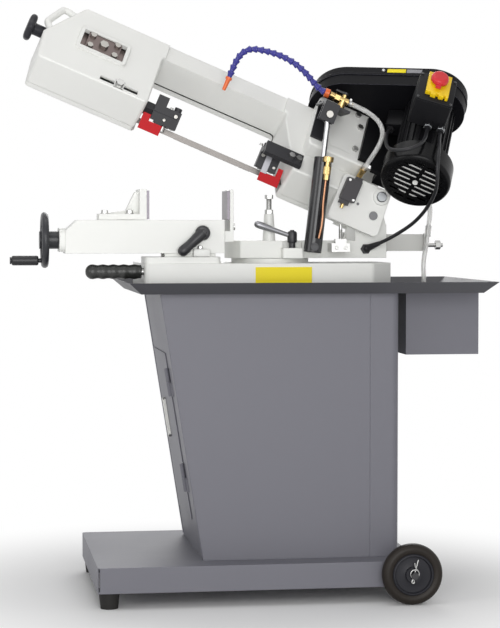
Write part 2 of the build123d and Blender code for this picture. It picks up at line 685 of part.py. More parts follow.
window = u_block(idler_u - window_half_u, idler_u + window_half_u,
                 slide_m - window_half_m, slide_m + window_half_m,
                 cast_face - cast_wall - 1, cast_face + 8)
frame = u_block(idler_u - window_half_u - 9, idler_u + window_half_u + 9, slide_m - window_half_m - 9,
                slide_m + window_half_m + 9, cast_face - 1, cast_face + 6)
cast += fillet(frame.edges().filter_by(Axis.Z), 8)
cast -= window
cast += bar_x(-idler_u - boss_end, -idler_u - boss_start - 6, slide_m, tension_n, 15)
cast -= bar_x(-idler_u - boss_end - 4, -idler_u - boss_start, slide_m, tension_n, tension_radius + run_fit)
grip_corners = ((123.5, -2), (139.5, 22), (113.5, 82), (79.5, 72))
grip_path = FilletPolyline(*[(-idler_u - u, m, 72) for u, m in grip_corners], radius=12)
cast += sweep(Plane(origin=grip_path @ 0, z_dir=grip_path % 0) * Circle(8), path=grip_path) - inside
guide_bar = (-78.0, -58.0, 22.0, 46.0)
cast -= u_block(opening_left - 10, opening_left + cast_wall + 6,
                guide_bar[0] - side_gap, guide_bar[1] + side_gap,
                guide_bar[2] - side_gap, guide_bar[3] + side_gap)
cast -= u_block(opening_left - 10, opening_left + cast_wall + 6, -100, -62, cast_mouth - 2, 16)
cast -= u_block(drive_u + 30, opening_right + 4, -104, -60, cast_mouth - 2, 16)
cast -= u_block(idler_u - 110, idler_u - 18, -94, -82, cast_face - cast_wall - 1, cast_face + 1)
drive_bearing = idler_axle_radius + 2.0
cast -= bar_z(cast_face - cast_wall - 1, cast_face + 1, -drive_u, 0, drive_bearing)
for u in (cover_hinges[0] + 40, cover_hinges[1] - 40):
    cast += bar_x(-u - 19, -u + 19, cast_high + 4, cast_mouth + 4, 4)
    cast += u_block(u - 19, u + 19, cast_high - 2, cast_high + 4, cast_mouth + 4, cast_mouth + 8)
cast = lean_to_bow(cast)
near_ear = side_plate([(-100, -44), (28, -44), (19, 66), (-100, 66)], ear_near, -ear_inside)
far_ear = side_plate([(-66, -42), (32, -42), (32, 50), (-10, 112), (-66, 112)], ear_inside, ear_far)
lever_foot = -spring_lever - 11
far_ear += side_plate([(-12, lever_foot), (12, lever_foot), (20, -35), (-20, -35)], ear_inside, ear_far - 4)
far_ear += bar_y(ear_far - 6, spring_y + 8, 0, -spring_lever, 5.5)
near_ear = fillet(near_ear.edges().filter_by(Axis.Y), 12)
stay_x = 0.0
stay_v = 47.0
inside_bow = lean_to_bow(inside)
cover_room = lean_to_bow(u_block(drive_end - 4, 200, -200, 200, -200, cast_mouth))
cast += near_ear - inside_bow - cover_room
cast += far_ear - inside_bow - cover_room
cast += bar_y(ear_near - 5, ear_near + 5, stay_x, stay_v, 19)
cast -= bar_y(ear_near - 10, ear_far + 10, 0, 0, pivot_radius + run_fit / 2)
pieces["bow_casting"] = in_bow(cast)

# Pivot pin held in the bow's ears, turning in the arm's lug, and the stay bolt on the near ear
pin = bar_y(ear_near - 1, ear_far + 6, 0, 0, pivot_radius)
pin += bar_y(ear_far + 1, ear_far + 7, 0, 0, 17)
stay_bolt = bar_y(ear_near - 11, ear_near - 5, stay_x, stay_v, 12)
stay_bolt = chamfer(stay_bolt.edges().filter_by(GeomType.CIRCLE).sort_by(Axis.Y)[:1], 2)
pieces["pivot_pin"] = in_bow(group(pin, stay_bolt))

# Blade cover: a shallow pan over the casting's mouth, hinged along its upper edge
cover_low = cast_mouth - side_gap - cover_depth
cover = slab(outline, cover_low, cast_mouth - side_gap)
cover = fillet(cover.edges().filter_by(Axis.Z), 9)
cover_inside = offset(outline_face, amount=-sheet - 1, kind=Kind.INTERSECTION)
cover -= Pos(0, 0, cover_low + sheet) * extrude(cover_inside, 40)
cover -= u_block(opening_left - 20, opening_left + 30, -102, -60, cover_low + sheet, cast_mouth + 5)
cover -= u_block(drive_u + 24, opening_right + 4, -104, -60, cover_low + sheet, cast_mouth + 5)
for u in cover_hinges:
    cover += bar_x(-u - 19, -u + 19, cast_high + 4, cast_mouth + 4, 4)
    cover += u_block(u - 19, u + 19, cast_high - 2, cast_high + 6, cover_low, cast_mouth - side_gap)
    cover += u_block(u - 19, u + 19, cast_high + side_gap, cast_high + 6, cast_mouth - 2, cast_mouth + 2)
pieces["blade_cover"] = in_lean(cover)

# Saw blade: flat on the wheels, twisted upright between the guides
seat = wheel_radius + blade_seat
ring = bar_z(-blade_width / 2, blade_width / 2, 0, 0, seat + blade_thick)
ring -= bar_z(-blade_width, blade_width, 0, 0, seat)
half = 2 * wheel_radius + 10
front_half = ring - block(0, half, -half, half, -half, half)
rear_half = ring - block(-half, 0, -half, half, -half, half)
blade = Pos(-idler_u, 0, 0) * front_half + Pos(-drive_u, 0, 0) * rear_half
blade += block(-idler_u, -drive_u, seat, seat + blade_thick, -blade_width / 2, blade_width / 2)
run_m = -seat - blade_thick / 2


def blade_section(u, twist):
    return Plane((-u, run_m, 0), x_dir=(0, 1, 0), z_dir=(1, 0, 0)) * Rot(0, 0, -twist) * Rectangle(
        blade_thick, blade_width)


full_twist = 90.0 - bow_lean
steps = 4
left_twist = [blade_section(idler_u + (guide_left_u - idler_u) * i / steps, full_twist * i / steps)
              for i in range(steps + 1)]
right_twist = [blade_section(drive_u + (guide_right_u - drive_u) * i / steps, full_twist * i / steps)
               for i in reversed(range(steps + 1))]
blade += loft(left_twist)
blade += loft([left_twist[-1], right_twist[0]])
blade += loft(right_twist)
pieces["saw_blade"] = in_lean(blade)


def band_wheel(u, bore):
    # cast wheel: rim, holed web and hub
    wheel = bar_z(-wheel_half, wheel_half, -u, 0, wheel_radius)
    wheel -= bar_z(4, wheel_half + 1, -u, 0, wheel_radius - 10)
    wheel -= bar_z(-wheel_half - 1, -4, -u, 0, wheel_radius - 10)
    wheel += bar_z(-wheel_half, wheel_half + 2, -u, 0, 24)
    for hole in range(5):
        angle = math.radians(72 * hole + 36)
        wheel -= bar_z(-5, 5, -u + 47 * math.cos(angle), 47 * math.sin(angle), 12)
    return wheel - bar_z(-40, 40, -u, 0, bore)


# Drive wheel keyed on its shaft, with the worm gear inside the gearbox
drive_wheel = band_wheel(drive_u, idler_axle_radius + run_fit / 2)
drive_shaft = bar_z(-wheel_half - 3, 116, -drive_u, 0, idler_axle_radius)
drive_shaft += bar_z(-wheel_half - 4, -wheel_half, -drive_u, 0, 20)
worm_gear = bar_z(worm_n - 8, worm_n + 8, -drive_u, 0, 26)
for tooth in range(30):
    angle = math.radians(12 * tooth)
    worm_gear -= bar_z(worm_n - 9, worm_n + 9, -drive_u + 26.3 * math.cos(angle), 26.3 * math.sin(angle), 1.5)
drive_shaft += worm_gear
pieces["drive_wheel"] = in_lean(group(drive_wheel, drive_shaft))
pieces["idler_wheel"] = in_lean(band_wheel(idler_u, idler_axle_radius + run_fit))

# Tension slide: a block in the window with the idler's axle and the nut for the tension screw
slide = u_block(idler_u - slide_half_u, idler_u + slide_half_u, slide_m - window_half_m + side_gap,
                slide_m + window_half_m - side_gap, 62, cast_face + 3)
slide += bar_z(wheel_half + 3, 64, -idler_u, 0, 19)
slide += bar_z(-wheel_half - 2, 64, -idler_u, 0, idler_axle_radius)
slide += u_block(idler_u + 16, idler_u + slide_half_u, slide_m - 15, slide_m + 15, tension_n - 14, 64)
slide -= bar_x(-idler_u - slide_half_u - 2, -idler_u - 14, slide_m, tension_n, tension_radius + run_fit)
keeper = bar_z(-wheel_half - 5, -wheel_half - 2, -idler_u, 0, 18)
slide_bolts = [hex_z(-idler_u + x, slide_m + y, cast_face + 3, cast_face + 9, 13)
               for x in (-30, 30) for y in (-17, 17)]
slide_bolts.append(hex_z(-idler_u, slide_m, cast_face + 3, cast_face + 11, 19))
pieces["tension_slide"] = in_lean(group(slide, keeper, *slide_bolts))

# Tension screw with its star knob
knob = bar_x(-idler_u - knob_end, -idler_u - knob_start, slide_m, tension_n, 26)
for lobe in range(6):
    angle = math.radians(60 * lobe)
    knob += bar_x(-idler_u - knob_end, -idler_u - knob_start, slide_m + 25 * math.cos(angle),
                  tension_n + 25 * math.sin(angle), 10)
knob += bar_x(-idler_u - knob_start - 1, -idler_u - boss_end - side_gap, slide_m, tension_n, 14)
knob += bar_x(-idler_u - boss_end - 2, -idler_u - 18, slide_m, tension_n, tension_radius)
pieces["tension_knob"] = in_lean(knob)


def guide_head(u0, u1):
    # a block beside the blade with a bridge over it
    head = u_block(u0, u1, -32, -9.3, 2, 44)
    head += u_block(u0 + 14, u1 - 12, -10, 17, 2, 15)
    return head


def guide_bearings(u0, u1):
    # one roller on each side of the blade and one on its back
    roller = 7.0
    off = blade_thick / 2 + side_gap + roller
    mid = (u0 + 14 + u1 - 12) / 2
    pair = [bar_z(-11, 2, -mid, side * off - 0.4, roller) for side in (-1, 1)]
    back = bar_y(-9.3, 5, -u0 - 7, roller - 0.5 + 0.9, roller - 0.5)
    return pair + [back]


# Left guide: bar in the housing's wall, clamp block under the slot, head and bearings
head_start = guide_left_u - 56
head_end = guide_left_u - 2
clamp_u = idler_u - 64
left_bar = u_block(head_start + 6, idler_u - 14, guide_bar[0], guide_bar[1], guide_bar[2], guide_bar[3])
left_bar += u_block(clamp_u - 18, clamp_u + 18, -92, -70, guide_bar[3] - 6, cast_face - cast_wall - side_gap)
left_bar += bar_z(60, cast_face + 3, -clamp_u, -88, 5.4)
left_guide = lean_to_bow(left_bar) + guide_head(head_start, head_end)
left_guide += u_block(head_start, head_end, -32, -4, 20, 44)
left_guide += u_block(head_end - 15, head_end + 10, -32, -20, 6, 66)
left_guide += u_block(head_end - 20, head_end - 2, -32, -22, -8, 4)
slot_washer = u_block(clamp_u - 12, clamp_u + 12, -99.5, -76.5, cast_face + 0.3, cast_face + 3)
slot_bolt = hex_z(-clamp_u, -88, cast_face + 3, cast_face + 11, 17)
slot_washer -= bar_z(60, 100, -clamp_u, -88, 5.4 + run_fit)
pieces["left_guide"] = in_bow(group(left_guide, lean_to_bow(slot_washer), lean_to_bow(slot_bolt),
                                    *guide_bearings(head_start, head_end)))

# Left guard: a bent red plate screwed on the guide's near face
guard_points = [(29, 14), (11, 14), (11, -1), (-22, -1), (-22, -25), (29, -25)]
left_guard = side_plate([(-head_end - u, v) for u, v in guard_points], -35, -32)
pieces["left_guard"] = in_bow(left_guard)

# Right guide: a plate bolted on the casting's face, a head hanging from it and its guard
right_start = guide_right_u + 2
right_end = guide_right_u + 52
right_plate = u_block(drive_u + 44, right_end, -106, -70, cast_face, cast_face + 12)
right_head = guide_head(right_start, right_end) + u_block(right_start + 10, right_end, -64, -9.3, 38, 52)
right_head += lean_to_bow(right_plate)
right_strap = u_block(right_start + 20, right_start + 34, -36, -32, -6, 38)
right_bolts = [lean_to_bow(hex_z(-drive_u - u, -88, cast_face + 12, cast_face + 19, 13)) for u in (54, 72)]
guard_points = [(34, -6), (-3, -3), (-3, 18), (-15, 18), (-17, -26), (34, -26)]
right_guard = side_plate([(-right_start - u, v) for u, v in guard_points], -35, -32)
pieces["right_guide"] = in_bow(group(right_head, right_strap, right_guard, *right_bolts,
                                     *guide_bearings(right_start, right_end)))

# Gearbox housing on the casting's face, hollow round the worm and its gear
gear = u_block(gear_right, gear_left, gear_low, gear_high, cast_face, gear_top)
gear = fillet(gear.edges().filter_by(Axis.Z), 12)
gear = fillet(gear.faces().sort_by(Axis.Z)[-1].edges(), 5)
gear -= bar_z(cast_face - 1, gear_top - 6, -drive_u, 0, 33)
gear -= u_block(worm_u - 15, worm_u + 15, gear_low + 7, 60, cast_face - 1, gear_top - 6)
gear -= bar_y(50, gear_high + 1, -worm_u, worm_n, shaft_radius + run_fit)
gear -= u_block(gear_right - 1, gear_left + 1, -30, -28.4, gear_top - 0.8, gear_top + 1)
plug_spots = ((32, 62), (32, -12), (44, 98), (90, 98))
plugs = [hex_z(-gear_right - u, m, gear_top, gear_top + 6, 13) for u, m in plug_spots]
pieces["gearbox"] = in_lean(group(gear, *plugs))


def step_pulley(u, n, radii):
    pulley = None
    for i, radius in enumerate(radii):
        ring = bar_y(pulley_low + i * pulley_step, pulley_low + (i + 1) * pulley_step, -u, n, radius)
        pulley = ring if pulley is None else pulley + ring
    return pulley


# Worm shaft with its worm and the driven step pulley
worm = bar_y(gear_low + 8, pulley_low + 3 * pulley_step + 2, -worm_u, worm_n, shaft_radius)
worm += bar_y(-22, 22, -worm_u, worm_n, 8)
worm += step_pulley(worm_u, worm_n, pulley_radii)
pieces["worm_shaft"] = in_lean(worm)

# Belt on the middle step
belt_inner = pulley_radii[1] + 0.4


def belt_loop(radius):
    return SlotCenterToCenter(drive_span, 2 * radius)


def guard_case(grow):
    # a round end about each shaft, joined by the two common tangents
    left = guard_worm_radius + grow
    right = guard_motor_radius + grow
    case = Pos(-drive_span / 2, 0) * Circle(left) + Pos(drive_span / 2, 0) * Circle(right)
    corners = []
    for x, radius in ((-drive_span / 2, left), (drive_span / 2, right)):
        corners.append((x + radius * math.sin(guard_taper), radius * math.cos(guard_taper)))
    corners += [(x, -y) for x, y in reversed(corners)]
    return case + make_face(Polyline(*corners, close=True))


drive_run = Vector(worm_u - motor_u, 0, motor_n - worm_n).normalized()
drive_span = math.hypot(worm_u - motor_u, motor_n - worm_n)
guard_taper = math.asin((guard_worm_radius - guard_motor_radius) / drive_span)


def belt_plane(m):
    middle = (-(worm_u + motor_u) / 2, m, (worm_n + motor_n) / 2)
    return Plane(middle, x_dir=drive_run, z_dir=(0, 1, 0))


belt_ring = belt_loop(belt_inner + belt_thick) - belt_loop(belt_inner)
belt = extrude(belt_plane(pulley_low + pulley_step + 2) * belt_ring,
               pulley_step - 4, dir=(0, 1, 0))
pieces["drive_belt"] = in_lean(belt)

# Belt guard pan on the gearbox and the motor's end, and its hinged cover
guard = extrude(belt_plane(gear_high) * guard_case(0), guard_split - gear_high, dir=(0, 1, 0))
guard -= extrude(belt_plane(gear_high + 2.5) * guard_case(-2.5), 60, dir=(0, 1, 0))
guard -= bar_y(gear_high - 1, gear_high + 5, -worm_u, worm_n, 12)
guard -= bar_y(gear_high - 1, gear_high + 5, -motor_u, motor_n, 16)
lid = extrude(belt_plane(guard_split + side_gap) * guard_case(0), guard_top - guard_split - side_gap,
              dir=(0, 1, 0))
lid -= extrude(belt_plane(guard_split) * guard_case(-2.5), guard_top - guard_split - 2.5, dir=(0, 1, 0))
lid += extrude(belt_plane(guard_split + side_gap) * (guard_case(2) - guard_case(-1)), 7, dir=(0, 1, 0))
# the hinge's own frame: X along the guard's lower side, Y out of it
guard_middle = (guard_worm_radius + guard_motor_radius) / 2
guard_hinge = (belt_plane(guard_split).location * Pos(guard_middle * math.sin(guard_taper),
               guard_middle * math.cos(guard_taper), 0) * Rot(0, 0, -math.degrees(guard_taper)))
hinge_off = 7.0


def hinge_knuckle(along0, along1):
    return guard_hinge * bar_x(along0, along1, hinge_off, 0, 4)


def hinge_leaf(along0, along1, low, high):
    return guard_hinge * block(along0, along1, -2, hinge_off, low, high)


guard += hinge_knuckle(-15, 15) + hinge_leaf(-15, 15, -4, -1)
for along in (-36, 16):
    lid += hinge_knuckle(along, along + 20) + hinge_leaf(along, along + 20, 1, 4)
cover_screw = bar_y(guard_top, guard_top + 5, -20, 150, 6)
pieces["belt_guard"] = in_lean(guard)
pieces["belt_cover"] = in_lean(group(lid, cover_screw))

# Motor: finned body with end shields and feet, on its plate
body = bar_y(-78, 112, -motor_u, motor_n, motor_radius)
body -= bar_y(-70, 100, -motor_u, motor_n, 43)
body -= bar_y(-80, 114, -motor_u, motor_n, 9.5 + run_fit)
for fin in range(24):
    turn = Pos(-motor_u, 0, motor_n) * Rot(0, 15 * fin, 0)
    body += turn * block(-1.5, 1.5, -68, 96, motor_radius - 2, motor_radius + fin_height)
for m in (-46, 56):
    body += u_block(motor_u - 34, motor_u + 34, m - 12, m + 12, 137, 168)
plate = u_block(-110, 82, -64, 98, 127, 137) - u_block(48, 83, -65, -43, 126, 138)
plate += u_block(64, 82, -40, 98, gear_top, 128)
plate += u_block(-20, 30, -64, -44, 98, 128)
pieces["motor_body"] = in_lean(group(body, plate))

# Fan cover: a drawn cup with a slotted grille and a centre screw
fan_cup = bar_y(-126, -73, -motor_u, motor_n, fan_radius)
fan_cup = fillet(fan_cup.edges().filter_by(GeomType.CIRCLE).sort_by(Axis.Y)[:1], 9)
fan_room = bar_y(-124, -76, -motor_u, motor_n, fan_radius - 2)
fan_cup -= fillet(fan_room.edges().filter_by(GeomType.CIRCLE).sort_by(Axis.Y)[:1], 7)
fan_cup -= bar_y(-77, -72, -motor_u, motor_n, motor_radius + run_fit)
for row in range(-4, 5):
    across = row * 14.0
    reach = math.sqrt(62.0 ** 2 - across ** 2)
    for start, end in ((-reach, -4.0), (4.0, reach)):
        if row == 0:
            start, end = (start, -14.0) if start < 0 else (14.0, end)
        fan_cup -= block(-motor_u + start, -motor_u + end, -127, -123,
                         motor_n + across - 3, motor_n + across + 3)
fan_screw = bar_y(-129, -126, -motor_u, motor_n, 6)
pieces["fan_cover"] = in_lean(group(fan_cup, fan_screw))

# Rotor with its fan and the driving step pulley
rotor = bar_y(-112, pulley_low + 3 * pulley_step + 2, -motor_u, motor_n, 9.5)
rotor += bar_y(-58, 90, -motor_u, motor_n, 41)
rotor += bar_y(-104, -100, -motor_u, motor_n, 66)
for vane in range(8):
    turn = Pos(-motor_u, 0, motor_n) * Rot(0, 45 * vane, 0)
    rotor += turn * block(-2, 2, -102, -84, 18, 66)
rotor += step_pulley(motor_u, motor_n, tuple(reversed(pulley_radii)))
pieces["motor_rotor"] = in_lean(rotor)

# Switch box on the motor, with glands below
box_right = -52.0
box_left = 35.0
box_angle = 11.0
box = u_block(box_right, box_left, -10, 78, 276, 350)
box = fillet(box.edges().filter_by(Axis.Z), 5)
box -= u_block(box_right + 2.5, box_left - 2.5, -7.5, 75.5, 278.5, 351)
box_middle = Pos(-(box_left + box_right) / 2, 0, 313)
box_turn = box_middle * Rot(0, -box_angle, 0) * box_middle.inverse()
box = box_turn * box
box += u_block(motor_u - 10, motor_u + 10, 10, 60, motor_n + motor_radius + fin_height, 283)
glands = []
for u in (-13, -43):
    gland = bar_y(-22, -10, -u, 288, 9) + bar_y(-30, -22, -u, 288, 7.5) - bar_y(-31, -9, -u, 288, 4.8)
    glands.append(box_turn * gland)
pieces["switch_box"] = in_lean(group(box, *glands))

# Yellow switch with a raised collar, and its red mushroom button
switch_u = -9.0
switch_m = 48.0
switch = u_block(box_right + 1, box_left - 1, -9, 77, 350, 354)
switch += fillet(u_block(-37, 16, 4, 74, 353, 366).edges().filter_by(Axis.Z), 8)
switch -= bar_z(349, 367, -switch_u, switch_m, 9 + run_fit)
pieces["stop_switch"] = in_lean(box_turn * switch)
button = bar_z(344, 374, -switch_u, switch_m, 9)
cap = bar_z(371, 384, -switch_u, switch_m, 20)
button += fillet(cap.edges().filter_by(GeomType.CIRCLE).sort_by(Axis.Z)[-1:], 8)
button += u_block(switch_u - 6, switch_u + 6, switch_m - 29, switch_m - 15, 371, 376)
pieces["stop_button"] = in_lean(box_turn * button)

# Limit switch on the near ear and its plunger over the trip pin
limit = u_block(57, 92, ear_near - 25, ear_near - 0.2, 6, 59)
limit = fillet(limit.edges().filter_by(Axis.Y), 3)
limit += u_block(68, 90, ear_near - 22, ear_near - 3, -4, 7)
limit += u_block(58, 74, ear_near - 20, ear_near - 4, 58, 66)
limit -= bar_z(-5, 30, -79, ear_near - 12, 4 + run_fit)
limit_screws = [bar_y(ear_near - 27, ear_near - 25, -u, v, 3) for u, v in ((62, 12), (87, 53))]
pieces["limit_switch"] = in_bow(group(limit, *limit_screws))
pieces["limit_plunger"] = in_bow(bar_z(-14, 22, -79, ear_near - 12, 4))

# Down-feed cylinder on the arm's near side: barrel with its eye, and the rod into the clevis
clevis_x = pivot_x - clevis_u * math.cos(raise_now) + clevis_v * math.sin(raise_now)
clevis_z = pivot_z + clevis_u * math.sin(raise_now) + clevis_v * math.cos(raise_now)
rod_span = math.hypot(clevis_x - eye_x, clevis_z - eye_z)
rod_tilt = math.degrees(math.atan2(clevis_x - eye_x, clevis_z - eye_z))
cylinder_at = Pos(eye_x, cylinder_y, eye_z) * Rot(0, rod_tilt, 0)
barrel = bar_z(-13, 206, 0, 0, cylinder_radius)
barrel = fillet(barrel.edges().filter_by(GeomType.CIRCLE), 2)
barrel -= bar_z(26, 188, 0, 0, cylinder_bore)
barrel -= bar_y(-cylinder_radius - 1, cylinder_radius + 1, 0, 0, 8 + run_fit)
barrel -= bar_z(180, 210, 0, 0, rod_radius + run_fit)
barrel -= bar_z(20, 210, valve_x, valve_y, valve_groove)
barrel -= bar_z(194, 210, valve_x, valve_y, valve_groove + 3.5)
pieces["cylinder_barrel"] = cylinder_at * barrel
piston = bar_z(90, rod_span + 2, 0, 0, rod_radius)
piston += bar_z(90, 108, 0, 0, cylinder_bore - run_fit)
pieces["piston_rod"] = cylinder_at * piston

# Flow valve in the barrel's groove: adjusting cap, neck, knurled sleeve and nut, and the bent copper tube below
valve = bar_z(195, 207, valve_x, valve_y, valve_groove + 3)
valve += bar_z(184, 196, valve_x, valve_y, 6)
valve += bar_z(166, 185, valve_x, valve_y, valve_groove - 0.5)
valve += hex_z(valve_x, valve_y, 154, 167, 12)
copper_points = [(valve_x, valve_y + 1, 153.8), (valve_x, valve_y + 1, 96), (valve_x + 3, valve_y + 3, 72),
                 (valve_x + 3, valve_y + 2, 48), (valve_x, valve_y + 4, 20.5)]
copper = tube_along(copper_points, 2.6, 12)
pieces["flow_valve"] = cylinder_at * group(valve, copper)

# Clevis bracket on the gearbox: a hollow block over the rod's end and a plate that carries the coolant tap
cleft = rod_radius + 2
cheek = cleft + 6
web_low = clevis_v + 19
web_top = clevis_v + 28
clevis = u_block(clevis_u - 17, clevis_u + 19, cylinder_y - cheek, cylinder_y + cheek, clevis_v - 17, web_top)
clevis -= u_block(clevis_u - 30, clevis_u + 30, cylinder_y - cleft, cylinder_y + cleft, clevis_v - 18, web_low)
clevis += u_block(146, clevis_u + 19, cylinder_y + cheek - 4, 30, web_top - 6, web_top)
clevis -= lean_to_bow(u_block(0, 300, -200, 300, -200, gear_top))
clevis += lean_to_bow(u_block(gear_left - 30, gear_left, -32, 88, gear_top, gear_top + 6))
clevis_bolt = bar_y(cylinder_y - cheek - 6, cylinder_y - cheek, -clevis_u, clevis_v, 8)
pieces["rod_clevis"] = in_bow(group(clevis, clevis_bolt))

# Coolant tap on the bracket: body, hex ends and hose tail, with a lever on top
tap_y = -40.0
tap_v = 222.0
tap = bar_x(-196, -150, tap_y, tap_v, 8)
tap += Pos(-184, tap_y, tap_v) * Rot(0, 90, 0) * extrude(RegularPolygon(11, 6), 12)
tap += bar_z(web_top, tap_v, -162, tap_y, 9)
tap += bar_z(tap_v, tap_v + 13, -162, tap_y, 6)
tap += bar_x(-152, -136, tap_y, tap_v, 3)
pieces["coolant_tap"] = in_bow(tap)
tap_lever = bar_z(tap_v + 13.3, tap_v + 19, -162, tap_y, 7)
tap_lever += u_block(162, 186, tap_y - 4, tap_y + 4, tap_v + 14, tap_v + 18)
pieces["tap_lever"] = in_bow(tap_lever)

# Segmented coolant hose: ball-and-socket links along a bent line, with a bore, then the nozzle
hose_points = [(208, -40, 1152.3), (195, -38.8, 1160), (180, -36.5, 1178), (160, -34.5, 1202), (135, -32.2, 1222),
               (104, -29.6, 1238), (68, -27, 1248), (34, -24.6, 1253), (12, -22.5, 1238), (-2, -20.5, 1212),
               (-12, -19, 1186)]
hose_line = Spline(*hose_points)
links = 20
hose_link_bore = 3.2
sections = []
for link in range(links):
    for share, radius in ((0.02, 7.6), (0.16, 8.4), (0.80, 5.6), (0.98, 5.4)):
        at = (link + share) / links
        sections.append(Plane(origin=hose_line @ at, x_dir=(0, 1, 0), z_dir=hose_line % at) * Circle(radius))
hose = loft(sections, ruled=True)
bore_sections = [Plane(origin=hose_line @ at, x_dir=(0, 1, 0), z_dir=hose_line % at) * Circle(hose_link_bore)
                 for at in [0.02 / links] + [i / 24 for i in range(1, 24)] + [1 - 0.02 / links]]
hose -= loft(bore_sections, ruled=True)
hose_end = Plane(origin=hose_line @ 1, x_dir=(0, 1, 0), z_dir=hose_line % 1)
nozzle = Pos(0, 0, 3.2) * Cylinder(7.8, 6)
nozzle += Pos(0, 0, 19) * Cone(5.4, 4.2, 27)
nozzle -= Pos(0, 0, 15) * Cylinder(2.4, 60)
hose_start = Plane(origin=hose_line @ 0, x_dir=(0, 1, 0), z_dir=hose_line % 0)
collar = Pos(0, 0, -6) * Cylinder(10.5, 11) - Pos(0, 0, -6) * Cylinder(hose_link_bore, 12)
pieces["segmented_hose"] = group(hose, hose_end.location * nozzle, hose_start.location * collar)

# Clear hoses: one from the pump to the swivel arm's clip, one on to the bow and one from the tap into the bow
supply_points = [(463, 45, 634), (463, 45, 672), (466, 44, 715), (464, 46, 755), (470, 43, 793), (474, 40, 830)]
pieces["supply_hose"] = tube_along(supply_points, hose_radius, hose_bend, hose_bore)
rise_points = [(474, 40, 832), (479, 37, 868), (474, 26, 902), (458, 6, 930), (436, -20, 946), (415, -40, 954)]
riser_hose = tube_along(rise_points, hose_radius, hose_bend, hose_bore)
feed_points = [(264.9, -40, 1128.2), (292.5, -40, 1116.4), (314, -56, 1102), (331, -78, 1081), (336, -94, 1055),
               (324, -102, 1026), (305, -95, 996), (291, -78, 970)]
pieces["bow_hoses"] = group(riser_hose, tube_along(feed_points, hose_radius, hose_bend, hose_bore))

# Cables from the switch box: a loop to the motor and a long one down to the swivel arm
motor_cable_points = [(416.7, -187.5, 1061.7), (407, -216, 1045), (394, -243, 1030), (372, -261, 1018),
                      (346, -259, 1011), (326, -238, 1011), (320, -206, 1019), (326, -165, 1034),
                      (337, -120, 1050), (350, -78, 1061), (364, -46, 1068)]
pieces["motor_cable"] = tube_along(motor_cable_points, cable_radius, cable_bend)
pump_cable_points = [(445.2, -191.9, 1053.5), (438.9, -206.8, 1038.6), (432.5, -238, 1021.5), (424, -261, 996.5),
                     (421, -266, 963), (425, -250, 938), (426, -222, 914), (421, -193, 892), (410, -168, 869),
                     (393, -144, 847), (367, -118, 826), (336, -92, 806), (318, -70, 797)]
pieces["pump_cable"] = tube_along(pump_cable_points, cable_radius, cable_bend)

# The origin lies on the floor under the middle of the whole machine's length
crank_end = hand_x - 78
tray_end = tray_right + tray_flare + sheet
over_origin = Pos(-(crank_end + tray_end) / 2, 0, 0)
os.makedirs("parts", exist_ok=True)
for name, piece in pieces.items():
    if isinstance(piece, ShapeList):
        piece = Compound(children=list(piece))
    export_step(over_origin * piece, f"parts/{name}.step")
    print(name, len(piece.solids()), "solids", round(piece.volume / 1000, 1), "cm3")
print(len(pieces), "nodes")
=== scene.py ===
import json
import math

import bmesh
import bpy
from mathutils import Matrix, Vector


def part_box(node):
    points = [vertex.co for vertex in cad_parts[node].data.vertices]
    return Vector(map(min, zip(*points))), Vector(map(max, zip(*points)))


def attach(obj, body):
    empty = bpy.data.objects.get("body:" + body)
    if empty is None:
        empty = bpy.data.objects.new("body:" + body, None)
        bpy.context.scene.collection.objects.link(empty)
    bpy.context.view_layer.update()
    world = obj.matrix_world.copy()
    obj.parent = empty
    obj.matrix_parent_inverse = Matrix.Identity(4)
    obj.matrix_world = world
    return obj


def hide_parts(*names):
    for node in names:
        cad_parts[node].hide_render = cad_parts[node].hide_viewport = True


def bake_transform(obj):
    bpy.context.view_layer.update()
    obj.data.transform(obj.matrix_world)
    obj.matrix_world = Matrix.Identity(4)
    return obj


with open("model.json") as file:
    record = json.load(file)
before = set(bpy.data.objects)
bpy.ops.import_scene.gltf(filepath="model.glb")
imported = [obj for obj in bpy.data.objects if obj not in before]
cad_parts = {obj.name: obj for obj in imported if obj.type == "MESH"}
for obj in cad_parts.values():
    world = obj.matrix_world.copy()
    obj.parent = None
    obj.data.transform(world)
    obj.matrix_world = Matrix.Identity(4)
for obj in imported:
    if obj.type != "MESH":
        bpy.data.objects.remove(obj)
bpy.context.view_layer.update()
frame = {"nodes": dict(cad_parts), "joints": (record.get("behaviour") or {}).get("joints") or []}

# Studio: a pale floor that fades to white away from the saw, a white world and four large soft lamps.
# The camera stands where the photo was taken, low and slightly left of the saw, with a long lens.
scene = bpy.context.scene
scene.view_settings.view_transform = "Standard"


def add_object(name, data):
    """A new object of the scene, which shows the data."""
    made = bpy.data.objects.new(name, data)
    scene.collection.objects.link(made)
    return made


camera_data = bpy.data.cameras.new("studio_camera")
camera_data.lens = 114.65
camera_data.sensor_width = 36.0
camera_data.clip_end = 60.0
camera = add_object("studio_camera", camera_data)
look_down, look_right = 2.52, 8.5
camera.location = (-0.6752, -4.6147, 0.8426)
camera.rotation_euler = (math.radians(90 - look_down), 0.0, math.radians(-look_right))
scene.camera = camera


def softbox(name, place, aim, side, watts):
    """A square lamp at a place, turned towards its aim."""
    lamp = bpy.data.lights.new(name, "AREA")
    lamp.size = side
    lamp.energy = watts
    holder = add_object(name, lamp)
    holder.location = place
    holder.rotation_euler = (Vector(aim) - Vector(place)).to_track_quat("-Z", "Y").to_euler()


softbox("key_left", (-3.2, -2.0, 1.6), (0, 0, 0.8), 1.6, 18)
softbox("front_fill", (-0.4, -4.2, 1.1), (0, 0, 0.7), 2.6, 92)
softbox("overhead", (-0.3, -0.2, 3.4), (0, 0, 0.7), 2.2, 16)
softbox("back_rim", (0.6, 3.2, 2.4), (0, 0, 0.9), 2.0, 34)


